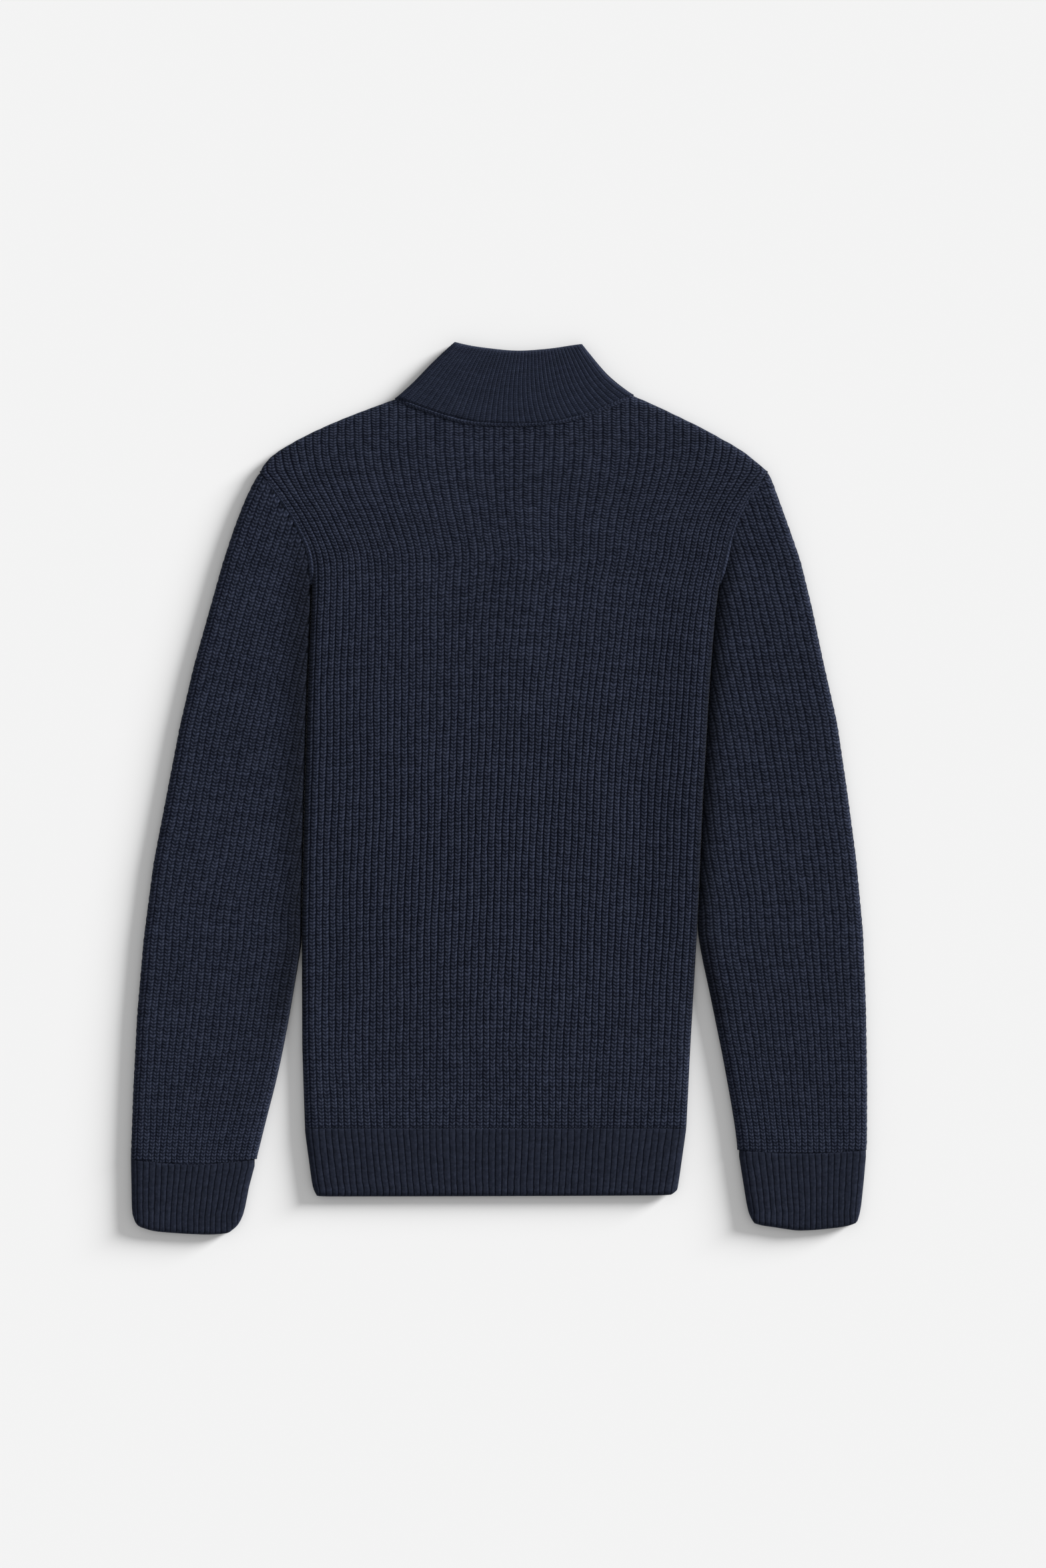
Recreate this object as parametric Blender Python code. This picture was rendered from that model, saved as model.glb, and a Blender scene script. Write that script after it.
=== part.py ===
"""A full-zip sweater in chunky rib knit, laid flat on its front with the back up.

Sizes below are in millimetres; the meshes are in metres.
x runs across the sweater as seen from above, y from the hem to the collar, and z up
from the surface it lies on.  "Height" is the distance up the garment from the hem's
edge.  "Left" and "right" are as seen from above.  The origin is on the surface, at the
middle of the outline's box.
"""

from collections import namedtuple
from math import atan2, cos, pi, sin, sqrt

import bmesh
import bpy
from mathutils import Matrix, Vector

MM = 0.001
HEM_BELOW_ORIGIN = 356.9      # from the hem's edge up to the origin
SEAM_GAP = 0.5                # left between pieces that are sewn edge to edge

# ---------------------------------------------------------------- layers, by their z
FRONT_TOP = 4.2               # the front's wall lies from the surface to here
BACK_UNDER = 4.5
BACK_TOP = 8.4                # mean top of the back's ribs
BAND_TOP = 8.1                # mean top of the firmer ribs of hem and cuffs
COLLAR_BACK_UNDER = 5.6       # clear of the zip's slider
COLLAR_TOP = 9.7
SLOT_BOTTOM = 3.9             # the empty slot inside a sleeve laid flat
SLOT_TOP = 4.6
TUBE_WALL = 3.6               # a sleeve's wall at its two folded edges
UNDER_CHAMFER = 1.5           # rounding of the edges that rest on the surface

# ---------------------------------------------------------------- ribs
BODY_RIBS = 58
HEM_RIBS = 58
SLEEVE_RIBS = 22
CUFF_RIBS = 20
COLLAR_RIBS = 40
BODY_RIB_DEPTH = 1.3
BAND_RIB_DEPTH = 0.9
HALF_DEPTH = 0.5              # crests and grooves lie this share of the depth off the mean
EDGE_FLATTENING = 0.6         # share of the ribs' depth that is lost at a rounded edge

# ---------------------------------------------------------------- rounding of the edges
OPEN_EDGE_DROP = 3.1          # how far a free edge falls from the top of its piece
SEAM_DROP = 1.1               # how far a sewn edge sinks
BAND_EDGE_DROP = 2.9
SIDE_ROLL = 10.0              # how far in from a free side the rounding reaches
SHOULDER_ROLL = 8.0
SLEEVE_ROLL = 13.0
SEAM_ROLL = 4.0
COLLAR_ROLL = 6.0
ARMHOLE_TURN_TOP = 600.0      # heights between which the armhole turns under
ARMHOLE_TURN_END = 530.0

# ---------------------------------------------------------------- outline tables
BodyRow = namedtuple("BodyRow", "height left right")
BODY_SIDES = [
    BodyRow(60.0, -169.6, 163.7),
    BodyRow(112.7, -171.7, 167.0),
    BodyRow(171.1, -172.3, 167.6),
    BodyRow(229.5, -172.3, 172.9),
    BodyRow(346.3, -169.9, 178.1),
    BodyRow(463.1, -166.4, 185.1),
    BodyRow(498.2, -164.7, 188.0),
    BodyRow(533.2, -163.5, 192.1),
    BodyRow(556.6, -164.1, 198.0),
    BodyRow(579.9, -172.9, 203.2),
    BodyRow(597.4, -182.2, 210.2),
    BodyRow(615.0, -194.5, 220.8),
    BodyRow(633.6, -209.7, 235.9),
]
HEM_SIDES = [
    BodyRow(6.0, -162.4, 155.9),
    BodyRow(25.0, -165.9, 159.4),
    BodyRow(42.6, -168.8, 161.8),
    BodyRow(60.0, -169.6, 163.7),
]
EdgePoint = namedtuple("EdgePoint", "share height")
HEM_EDGE = [
    EdgePoint(0.0, 6.0),
    EdgePoint(0.006, 1.2),
    EdgePoint(0.02, 0.0),
    EdgePoint(0.95, 0.9),
    EdgePoint(0.985, 1.6),
    EdgePoint(1.0, 6.0),
]

# Heights of the back's rows along its two sides, close together where the armhole bends.
BODY_ROW_HEIGHTS = (60.0, 64.0, 130.0, 240.0, 350.0, 450.0, 505.0, 533.0, 545.0,
                    557.0, 568.0, 580.0, 597.0, 615.0, 626.0, 631.0, 633.6)

LinePoint = namedtuple("LinePoint", "x height")
LEFT_SHOULDER = [
    LinePoint(-209.7, 633.6),
    LinePoint(-203.2, 643.0),
    LinePoint(-194.5, 650.0),
    LinePoint(-151.8, 673.4),
    LinePoint(-91.1, 697.0),
]
NECK = [
    LinePoint(-91.1, 697.0),
    LinePoint(-58.4, 685.0),
    LinePoint(-24.5, 675.7),
    LinePoint(17.5, 673.9),
    LinePoint(55.5, 676.9),
    LinePoint(83.5, 685.0),
    LinePoint(118.0, 700.2),
]
RIGHT_SHOULDER = [
    LinePoint(118.0, 700.2),
    LinePoint(174.0, 673.4),
    LinePoint(214.9, 650.0),
    LinePoint(229.5, 638.3),
    LinePoint(235.9, 633.6),
]

# A sleeve's outer edge, as its distance from the middle plane of the outline, and the
# width of its field of ribs, part of which runs in under the body's edge.
SleeveRow = namedtuple("SleeveRow", "height left right")
SLEEVE_OUTER = [
    SleeveRow(32.0, 321.8, 321.2),
    SleeveRow(66.0, 320.6, 321.8),
    SleeveRow(112.7, 318.9, 321.8),
    SleeveRow(171.1, 315.4, 320.6),
    SleeveRow(229.5, 310.1, 318.3),
    SleeveRow(287.9, 302.5, 313.0),
    SleeveRow(346.3, 291.4, 305.4),
    SleeveRow(404.7, 280.3, 297.3),
    SleeveRow(463.1, 266.9, 284.4),
    SleeveRow(521.5, 250.5, 272.1),
    SleeveRow(550.7, 242.4, 265.1),
    SleeveRow(579.9, 233.0, 255.2),
    SleeveRow(609.1, 221.9, 244.7),
    SleeveRow(633.6, 209.7, 235.9),
]
SLEEVE_WIDTH = [
    SleeveRow(32.0, 109.6, 111.5),
    SleeveRow(66.0, 116.8, 116.2),
    SleeveRow(112.7, 126.8, 124.4),
    SleeveRow(171.1, 134.4, 134.9),
    SleeveRow(229.5, 138.4, 144.1),
    SleeveRow(300.0, 139.0, 147.0),
    SleeveRow(633.6, 139.0, 147.0),
]
ARMPIT_HEIGHT = 463.0
GAP_SEARCH_HEIGHT = 150.0     # below this a sleeve's inner edge is clear of the body
BISECTIONS = 40
SLEEVE_ROW_SHARES = (0.0, 0.015, 0.04, 0.08, 0.13, 0.2, 0.28, 0.37, 0.47, 0.57,
                     0.68, 0.79, 0.9, 0.98, 1.0)

SLOT_HEIGHTS = (22.0, 66.0, 112.0, 171.0, 230.0, 288.0, 346.0, 405.0, 460.0, 464.0,
                505.0, 545.0, 580.0, 600.0, 616.0)
SLOT_OVERRUN = 4.0
CUFF_SLOT_OVERRUN = 25.0
CUFF_SLOT_ROWS = 4
CUFF_ROW_SHARES = (0.0, 0.04, 0.14, 0.5, 0.94, 1.0)
HEM_ROW_SHARES = (0.0, 0.03, 0.1, 0.93, 1.0)
COLLAR_ROW_SHARES = (0.0, 0.06, 0.3, 0.55, 0.78, 0.94, 1.0)

CuffRow = namedtuple("CuffRow", "height outer inner")
Sleeve = namedtuple("Sleeve", "name side cuff_seam seam_sag cuff_sides cuff_bottom")
LEFT_SLEEVE = Sleeve(
    name="left", side=-1, cuff_seam=33.0, seam_sag=4.5,
    cuff_sides=[
        CuffRow(-15.8, 320.3, 223.7),
        CuffRow(-4.1, 321.2, 220.8),
        CuffRow(6.4, 321.2, 219.0),
        CuffRow(33.0, 321.8, 212.0),
    ],
    cuff_bottom=[
        EdgePoint(0.0, -15.8),
        EdgePoint(0.025, -22.8),
        EdgePoint(0.075, -26.9),
        EdgePoint(0.26, -31.0),
        EdgePoint(0.7, -33.3),
        EdgePoint(0.85, -32.1),
        EdgePoint(0.925, -27.5),
        EdgePoint(0.975, -21.6),
        EdgePoint(1.0, -15.8),
    ])
RIGHT_SLEEVE = Sleeve(
    name="right", side=1, cuff_seam=41.0, seam_sag=3.0,
    cuff_sides=[
        CuffRow(-14.6, 315.4, 218.4),
        CuffRow(-4.1, 317.1, 216.1),
        CuffRow(7.6, 318.3, 214.3),
        CuffRow(41.0, 321.3, 209.0),
    ],
    cuff_bottom=[
        EdgePoint(0.0, -14.6),
        EdgePoint(0.025, -22.8),
        EdgePoint(0.22, -27.4),
        EdgePoint(0.54, -29.8),
        EdgePoint(0.74, -27.4),
        EdgePoint(0.95, -23.4),
        EdgePoint(0.975, -19.9),
        EdgePoint(1.0, -14.6),
    ])

CollarSide = namedtuple("CollarSide", "rise left left_height right right_height")
COLLAR_SIDES = [
    CollarSide(0.0, -91.1, 697.0, 118.0, 700.2),
    CollarSide(0.2, -79.4, 706.1, 104.5, 707.8),
    CollarSide(0.45, -67.0, 720.0, 92.5, 719.5),
    CollarSide(0.7, -54.8, 732.0, 83.5, 730.6),
    CollarSide(0.9, -44.0, 742.5, 76.3, 740.5),
    CollarSide(1.0, -38.5, 747.0, 72.4, 745.2),
]
COLLAR_TOP_EDGE = [
    EdgePoint(0.0, 747.0),
    EdgePoint(0.1, 744.2),
    EdgePoint(0.25, 741.7),
    EdgePoint(0.5, 739.3),
    EdgePoint(0.75, 741.2),
    EdgePoint(0.93, 744.2),
    EdgePoint(1.0, 745.2),
]

# ---------------------------------------------------------------- front opening and zip
CENTRE_AT_HEM = -4.7          # x of the middle of the front at the hem's edge
CENTRE_AT_NECK = 14.6
NECK_HEIGHT = 674.0
FRONT_NECK_HEIGHT = 632.0     # the front's neck seam is lower than the back's
FRONT_COLLAR_HEIGHT = 706.0   # top of the front collar at the zip
CHANNEL_HALF = 5.0            # from the middle to each front's edge
FACING_WIDTH = 13.0           # strip beside the zip that is thinned for its tape
FACING_STEP = 1.5             # the slope from the thinned strip to the full wall
FACING_COLUMNS = 3
FACING_TOP = 2.9
NECK_STEPS = 6
SHOULDER_STEPS = 4
TAPE_INNER = 1.7
TAPE_OUTER = 17.0
TAPE_UNDER = 3.2
TAPE_THICK = 0.6
TAPE_START = 14.0
TAPE_END = 703.0
BOX_SIZE = (8.0, 10.0, 2.0)
BOX_CENTRE_HEIGHT = 8.3
BOX_CENTRE_Z = 3.1
BOX_BEVEL = 0.4

PIVOT_HEIGHT = 690.0          # the tab's pivot, up the garment
PIVOT_Z = 1.15
PLATE_HALF_WIDTH = 4.2
PLATE_HALF_LENGTH = 5.5
PLATE_THICK = 0.8
PLATE_BEVEL = 0.3
JOIN_OVERLAP = 0.1
FRONT_PLATE_Z = 2.1           # middles of the slider's two plates
REAR_PLATE_Z = 4.9
FLANGE_WIDTH = 0.8
FLANGE_HEIGHT = 0.4
FLANGE_INSET = 0.3
FLANGE_SHORTER = 2.0          # than the plates that carry it
POST_HALF_WIDTH = 1.1
POST_LENGTH = 2.6
BAIL_HALF_WIDTH = 1.0
BAIL_THICK = 0.5
BAIL_CENTRE_Z = 0.35
BAIL_FOOT_Y = 2.3
BAIL_FOOT_THICK = 0.6
TAB_HALF_WIDTH = 3.0
TAB_THICK = 0.7
TAB_HOLE_HALF_WIDTH = 1.5
TAB_HOLE_LENGTH = 3.25
TAB_CROSSBAR = 0.7
TAB_RING_END = 5.0
TAB_LENGTH = 24.0
GRIP_THICK = 1.2
GRIP_CENTRE_Z = 0.9
GRIP_BEVEL = 0.3

MATERIALS = {
    "body_knit": ((0.016, 0.020, 0.034, 1.0), 0.92, 0.0),
    "band_knit": ((0.014, 0.017, 0.029, 1.0), 0.90, 0.0),
    "zip_tape": ((0.012, 0.014, 0.024, 1.0), 0.85, 0.0),
    "zip_metal": ((0.10, 0.10, 0.11, 1.0), 0.35, 1.0),
}


# ---------------------------------------------------------------- curves and rounding
def curve_through(points):
    """A smooth function through (place, value) points, without overshoot between them."""
    points = sorted((point[0], point[1]) for point in points)
    places = [place for place, _ in points]
    values = [value for _, value in points]
    chords = [(values[i + 1] - values[i]) / (places[i + 1] - places[i])
              for i in range(len(points) - 1)]
    slopes = [chords[0]]
    for before, after in zip(chords, chords[1:]):
        same_way = before * after > 0.0
        slopes.append(2.0 * before * after / (before + after) if same_way else 0.0)
    slopes.append(chords[-1])

    def value_at(place):
        place = min(max(place, places[0]), places[-1])
        i = max(k for k in range(len(chords)) if k == 0 or places[k] <= place)
        span = places[i + 1] - places[i]
        t = (place - places[i]) / span
        return ((1 + 2 * t) * (1 - t) ** 2 * values[i] + t * (1 - t) ** 2 * span * slopes[i]
                + t * t * (3 - 2 * t) * values[i + 1] - t * t * (1 - t) * span * slopes[i + 1])

    return value_at


def column_curve(rows, place, value):
    """A smooth function of one named column of a table against another."""
    return curve_through([(getattr(row, place), getattr(row, value)) for row in rows])


def blend(start, end, share):
    return start + (end - start) * share


def fall(distance, reach):
    """How much of its drop an edge has at this distance in from it: 1 at the edge."""
    if distance >= reach:
        return 0.0
    return 1.0 - sqrt(max(0.0, 1.0 - (1.0 - max(distance, 0.0) / reach) ** 2))


def centre_x(height):
    """The middle of the front opening, which leans a little as the garment lies."""
    return blend(CENTRE_AT_HEM, CENTRE_AT_NECK, height / NECK_HEIGHT)


body_left = column_curve(BODY_SIDES, "height", "left")
body_right = column_curve(BODY_SIDES, "height", "right")
hem_left = column_curve(HEM_SIDES, "height", "left")
hem_right = column_curve(HEM_SIDES, "height", "right")
hem_edge = column_curve(HEM_EDGE, "share", "height")
left_shoulder = column_curve(LEFT_SHOULDER, "x", "height")
right_shoulder = column_curve(RIGHT_SHOULDER, "x", "height")
back_neck = column_curve(NECK, "x", "height")
collar_top_edge = column_curve(COLLAR_TOP_EDGE, "share", "height")
NECK_CORNER = {-1: NECK[0], 1: NECK[-1]}
BODY_SIDE = {-1: body_left, 1: body_right}
HEM_SIDE = {-1: hem_left, 1: hem_right}
SIDE_NAME = {-1: "left", 1: "right"}
HEM_SEAM = BODY_SIDES[0].height
TIP_HEIGHT = BODY_SIDES[-1].height


def front_neck(x):
    """Height of the front's neck seam, lowest at the zip."""
    middle = centre_x(FRONT_NECK_HEIGHT)
    corner = NECK_CORNER[-1 if x < middle else 1]
    share = (x - middle) / (corner.x - middle)
    return blend(FRONT_NECK_HEIGHT, corner.height, share ** 2)


def panel_top(neck, x):
    """Height of a panel's top edge: two shoulders, with the given neck between them."""
    if x <= NECK_CORNER[-1].x:
        return left_shoulder(x)
    if x >= NECK_CORNER[1].x:
        return right_shoulder(x)
    return neck(x)


def body_side(side, height):
    """x of a body side, as straight runs between the heights of the panels' rows."""
    smooth_side = BODY_SIDE[side]
    for low, high in zip(BODY_ROW_HEIGHTS, BODY_ROW_HEIGHTS[1:]):
        if height <= high:
            share = (height - low) / (high - low)
            return blend(smooth_side(low), smooth_side(high), share)
    return smooth_side(BODY_ROW_HEIGHTS[-1])


def side_drop(height):
    """How far a body side or a sleeve's inner edge falls: little where they are sewn
    together over the shoulder, fully once the armhole has turned under."""
    share = min(max((ARMHOLE_TURN_TOP - height) / (ARMHOLE_TURN_TOP - ARMHOLE_TURN_END), 0.0), 1.0)
    return blend(SEAM_DROP, OPEN_EDGE_DROP, share)


def ribbed(top, depth, column, edges):
    """z of a ribbed surface, where edges lists (drop, distance, reach) of its edges."""
    falls = [(drop * fall(distance, reach), fall(distance, reach))
             for drop, distance, reach in edges]
    deepest = max(drop for drop, _ in falls)
    flattened = 1.0 - EDGE_FLATTENING * max(share for _, share in falls)
    crest = HALF_DEPTH if column % 2 else -HALF_DEPTH
    return top - deepest + crest * depth * flattened


# ---------------------------------------------------------------- making the solids
def collection(name):
    made = bpy.data.collections.new(name)
    bpy.context.scene.collection.children.link(made)
    return made


def material(name):
    made = bpy.data.materials.new(name)
    made.use_nodes = True
    colour, roughness, metallic = MATERIALS[name]
    shader = made.node_tree.nodes["Principled BSDF"]
    shader.inputs["Base Color"].default_value = colour
    shader.inputs["Roughness"].default_value = roughness
    shader.inputs["Metallic"].default_value = metallic
    return made


def to_metres(x, height, z):
    return Vector((x * MM, (height - HEM_BELOW_ORIGIN) * MM, z * MM))


def add_object(name, cloth, home, finish=None):
    """Turns a finished bmesh into a named object."""
    bmesh.ops.recalc_face_normals(cloth, faces=cloth.faces)
    data = bpy.data.meshes.new(name)
    cloth.to_mesh(data)
    cloth.free()
    if finish:
        data.materials.append(finish)
    made = bpy.data.objects.new(name, data)
    home.objects.link(made)
    return made


def inward(corner, rim):
    """The level direction into a piece from a corner of its rim."""
    total = Vector((0.0, 0.0))
    for edge in corner.link_edges:
        if edge not in rim:
            continue
        run = (edge.verts[1].co - edge.verts[0].co).xy
        across = Vector((-run.y, run.x)).normalized()
        middle = (edge.verts[0].co + edge.verts[1].co) / 2.0
        if across.dot((edge.link_faces[0].calc_center_median() - middle).xy) < 0.0:
            across.negate()
        total += across
    return total.normalized()


def carry_rim(cloth, z, steps=None):
    """Extrudes the open rim down to z, each corner moved in by its step if it has one."""
    rim = [edge for edge in cloth.edges if edge.is_boundary]
    made = bmesh.ops.extrude_edge_only(cloth, edges=rim)["geom"]
    for corner in [item for item in made if isinstance(item, bmesh.types.BMVert)]:
        if steps:
            corner.co.xy += steps[tuple(corner.co.xy)]
        corner.co.z = z * MM


def grid_surface(columns, rows, place):
    """An open surface whose grid corners lie at place(column, row)."""
    cloth = bmesh.new()
    bmesh.ops.create_grid(cloth, x_segments=columns, y_segments=rows, size=0.5)
    for corner in cloth.verts:
        column = round((corner.co.x + 0.5) * columns)
        row = round((corner.co.y + 0.5) * rows)
        corner.co = to_metres(*place(column, row))
    return cloth


def wall(name, surface, under, home, finish=None, chamfer=0.0):
    """A solid wall: a surface with its rim carried down to a flat underside, over a
    chamfer where the wall rests on the ground."""
    if chamfer:
        rim = {edge for edge in surface.edges if edge.is_boundary}
        corners = {corner for edge in rim for corner in edge.verts}
        steps = {tuple(corner.co.xy): inward(corner, rim) * chamfer * MM for corner in corners}
        carry_rim(surface, under + chamfer)
        carry_rim(surface, under, steps)
    else:
        carry_rim(surface, under)
    open_rim = [edge for edge in surface.edges if edge.is_boundary]
    bmesh.ops.holes_fill(surface, edges=open_rim, sides=0)
    return add_object(name, surface, home, finish)


def cut_away(made, cutter):
    cutter.hide_render = True
    cutter.display_type = "WIRE"
    slot = made.modifiers.new("slot", "BOOLEAN")
    slot.operation = "DIFFERENCE"
    slot.solver = "EXACT"
    slot.object = cutter


# ---------------------------------------------------------------- back and fronts
def back_panel(home, finish):
    """The back: ribs run from the hem seam to the shoulders and the neck, and crowd
    together where the armholes narrow the panel."""
    columns = 2 * BODY_RIBS

    def place(column, row):
        side_height = BODY_ROW_HEIGHTS[row]
        left = body_side(-1, side_height)
        right = body_side(1, side_height)
        x = blend(left, right, column / columns)
        top_x = blend(body_side(-1, TIP_HEIGHT), body_side(1, TIP_HEIGHT), column / columns)
        top_height = panel_top(back_neck, top_x)
        share = (side_height - HEM_SEAM) / (TIP_HEIGHT - HEM_SEAM)
        height = blend(HEM_SEAM, top_height, share)
        under_collar = NECK_CORNER[-1].x < top_x < NECK_CORNER[1].x
        top_edge = (SEAM_DROP, SEAM_ROLL) if under_collar else (OPEN_EDGE_DROP, SHOULDER_ROLL)
        z = ribbed(BACK_TOP, BODY_RIB_DEPTH, column, [
            (side_drop(side_height), x - left, SIDE_ROLL),
            (side_drop(side_height), right - x, SIDE_ROLL),
            (top_edge[0], top_height - height, top_edge[1]),
            (SEAM_DROP, height - HEM_SEAM, SEAM_ROLL),
        ])
        return x, height, z

    surface = grid_surface(columns, len(BODY_ROW_HEIGHTS) - 1, place)
    return wall("back", surface, BACK_UNDER, home, finish)


def front_columns(side):
    """Places across a front along its top edge, as distances out from its zip edge."""
    middle = centre_x(FRONT_NECK_HEIGHT) + side * CHANNEL_HALF
    to_corner = abs(NECK_CORNER[side].x - middle)
    to_tip = abs(BODY_SIDE[side](TIP_HEIGHT) - middle)
    facing = [0.0, FACING_WIDTH, FACING_WIDTH + FACING_STEP]
    neck = [blend(facing[-1], to_corner, k / NECK_STEPS) for k in range(1, NECK_STEPS + 1)]
    shoulder = [blend(to_corner, to_tip, k / SHOULDER_STEPS) for k in range(1, SHOULDER_STEPS + 1)]
    return facing + neck + shoulder


def across_front(side, column, zip_x, side_x):
    """x of a front's column: at its own distance beside the zip, and beyond that at
    its share of what is left of the panel's width."""
    columns = front_columns(side)
    if column < FACING_COLUMNS:
        return zip_x + side * columns[column]
    facing = columns[FACING_COLUMNS - 1]
    share = (columns[column] - facing) / (columns[-1] - facing)
    return blend(zip_x + side * facing, side_x, share)


def front_z(column):
    return FACING_TOP if column < FACING_COLUMNS - 1 else FRONT_TOP


def front_panel(side, home, finish):
    """A front, flat below, thinned beside the zip for the tape that lies on it."""
    columns = front_columns(side)

    def place(column, row):
        side_height = BODY_ROW_HEIGHTS[row]
        share = (side_height - HEM_SEAM) / (TIP_HEIGHT - HEM_SEAM)
        top_x = across_front(side, column, centre_x(FRONT_NECK_HEIGHT) + side * CHANNEL_HALF,
                             body_side(side, TIP_HEIGHT))
        height = blend(HEM_SEAM, panel_top(front_neck, top_x), share)
        zip_x = centre_x(blend(HEM_SEAM, FRONT_NECK_HEIGHT, share)) + side * CHANNEL_HALF
        x = across_front(side, column, zip_x, body_side(side, side_height))
        return x, height, front_z(column)

    surface = grid_surface(len(columns) - 1, len(BODY_ROW_HEIGHTS) - 1, place)
    return wall("front_" + SIDE_NAME[side], surface, 0.0, home, finish, UNDER_CHAMFER)


# ---------------------------------------------------------------- hem band
def hem_back(home, finish):
    columns = 2 * HEM_RIBS

    def place(column, row):
        across = column / columns
        up = HEM_ROW_SHARES[row]
        seam = HEM_SEAM - SEAM_GAP
        side_height = blend(HEM_SIDES[0].height, seam, up)
        left = hem_left(side_height)
        right = hem_right(side_height)
        x = blend(left, right, across)
        height = blend(hem_edge(across), seam, up)
        z = ribbed(BAND_TOP, BAND_RIB_DEPTH, column, [
            (BAND_EDGE_DROP, x - left, SIDE_ROLL),
            (BAND_EDGE_DROP, right - x, SIDE_ROLL),
            (BAND_EDGE_DROP, height - hem_edge(across), SEAM_ROLL),
            (SEAM_DROP, seam - height, SEAM_ROLL),
        ])
        return x, height, z

    surface = grid_surface(columns, len(HEM_ROW_SHARES) - 1, place)
    return wall("hem_back", surface, BACK_UNDER, home, finish)


def hem_front(side, home, finish):
    columns = front_columns(side)

    def place(column, row):
        up = HEM_ROW_SHARES[row]
        seam = HEM_SEAM - SEAM_GAP
        side_height = blend(HEM_SIDES[0].height, seam, up)
        zip_x = centre_x(side_height) + side * CHANNEL_HALF
        x = across_front(side, column, zip_x, HEM_SIDE[side](side_height))
        across = (x - hem_left(side_height)) / (hem_right(side_height) - hem_left(side_height))
        height = blend(hem_edge(across), seam, up)
        return x, height, front_z(column)

    surface = grid_surface(len(columns) - 1, len(HEM_ROW_SHARES) - 1, place)
    name = "hem_front_" + SIDE_NAME[side]
    return wall(name, surface, 0.0, home, finish, UNDER_CHAMFER)


# ---------------------------------------------------------------- sleeves and cuffs
class SleeveShape:
    """The plan of one sleeve, in distances out from the middle plane of the outline."""

    def __init__(self, sleeve):
        self.side = sleeve.side
        self.sleeve = sleeve
        self.outer = column_curve(SLEEVE_OUTER, "height", sleeve.name)
        self.ribs_width = column_curve(SLEEVE_WIDTH, "height", sleeve.name)

    def body_edge(self, height):
        return self.side * body_side(self.side, height) + SEAM_GAP

    def inner(self, height):
        """The inner edge: free below, and along the body's edge above."""
        free = self.outer(height) - self.ribs_width(height)
        return max(free, self.body_edge(height)) if height > HEM_SEAM else free

    def column_start(self, across):
        """The height where a column of ribs comes out from the body's edge or armhole."""
        low = GAP_SEARCH_HEIGHT
        high = TIP_HEIGHT
        for _ in range(BISECTIONS):
            middle = (low + high) / 2.0
            room = self.outer(middle) - self.body_edge(middle)
            if room > across * self.ribs_width(middle):
                low = middle
            else:
                high = middle
        return low

    def cuff_seam(self, across):
        return self.sleeve.cuff_seam - self.sleeve.seam_sag * sin(pi * across)

    def x(self, height, across):
        return self.side * (self.outer(height) - across * self.ribs_width(height))


def sleeve_tube(sleeve, home, cutters, finish):
    """A sleeve: a flattened tube whose ribs run beside its outer edge, and start where
    they come out from the armhole or from the body's edge."""
    shape = SleeveShape(sleeve)
    columns = 2 * SLEEVE_RIBS
    starts = [shape.column_start(column / columns) for column in range(columns + 1)]

    def place(column, row):
        across = column / columns
        height = blend(starts[column], shape.cuff_seam(across), SLEEVE_ROW_SHARES[row])
        x = shape.x(height, across)
        z = ribbed(BACK_TOP, BODY_RIB_DEPTH, column, [
            (OPEN_EDGE_DROP, shape.outer(height) - abs(x), SIDE_ROLL),
            (side_drop(height), abs(x) - shape.inner(height), SLEEVE_ROLL),
            (SEAM_DROP, height - shape.cuff_seam(across), SEAM_ROLL),
        ])
        return x, height, z

    name = "sleeve_" + sleeve.name
    surface = grid_surface(columns, len(SLEEVE_ROW_SHARES) - 1, place)
    made = wall(name, surface, 0.0, home, finish, UNDER_CHAMFER)

    def slot_place(column, row):
        height = SLOT_HEIGHTS[row]
        if column == 0:
            return sleeve.side * (shape.outer(height) - TUBE_WALL), height, SLOT_TOP
        inner_wall = TUBE_WALL if height < ARMPIT_HEIGHT else -SLOT_OVERRUN
        return sleeve.side * (shape.inner(height) + inner_wall), height, SLOT_TOP

    slot = wall(name + "_slot", grid_surface(1, len(SLOT_HEIGHTS) - 1, slot_place),
                SLOT_BOTTOM, cutters)
    cut_away(made, slot)
    return made


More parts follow.
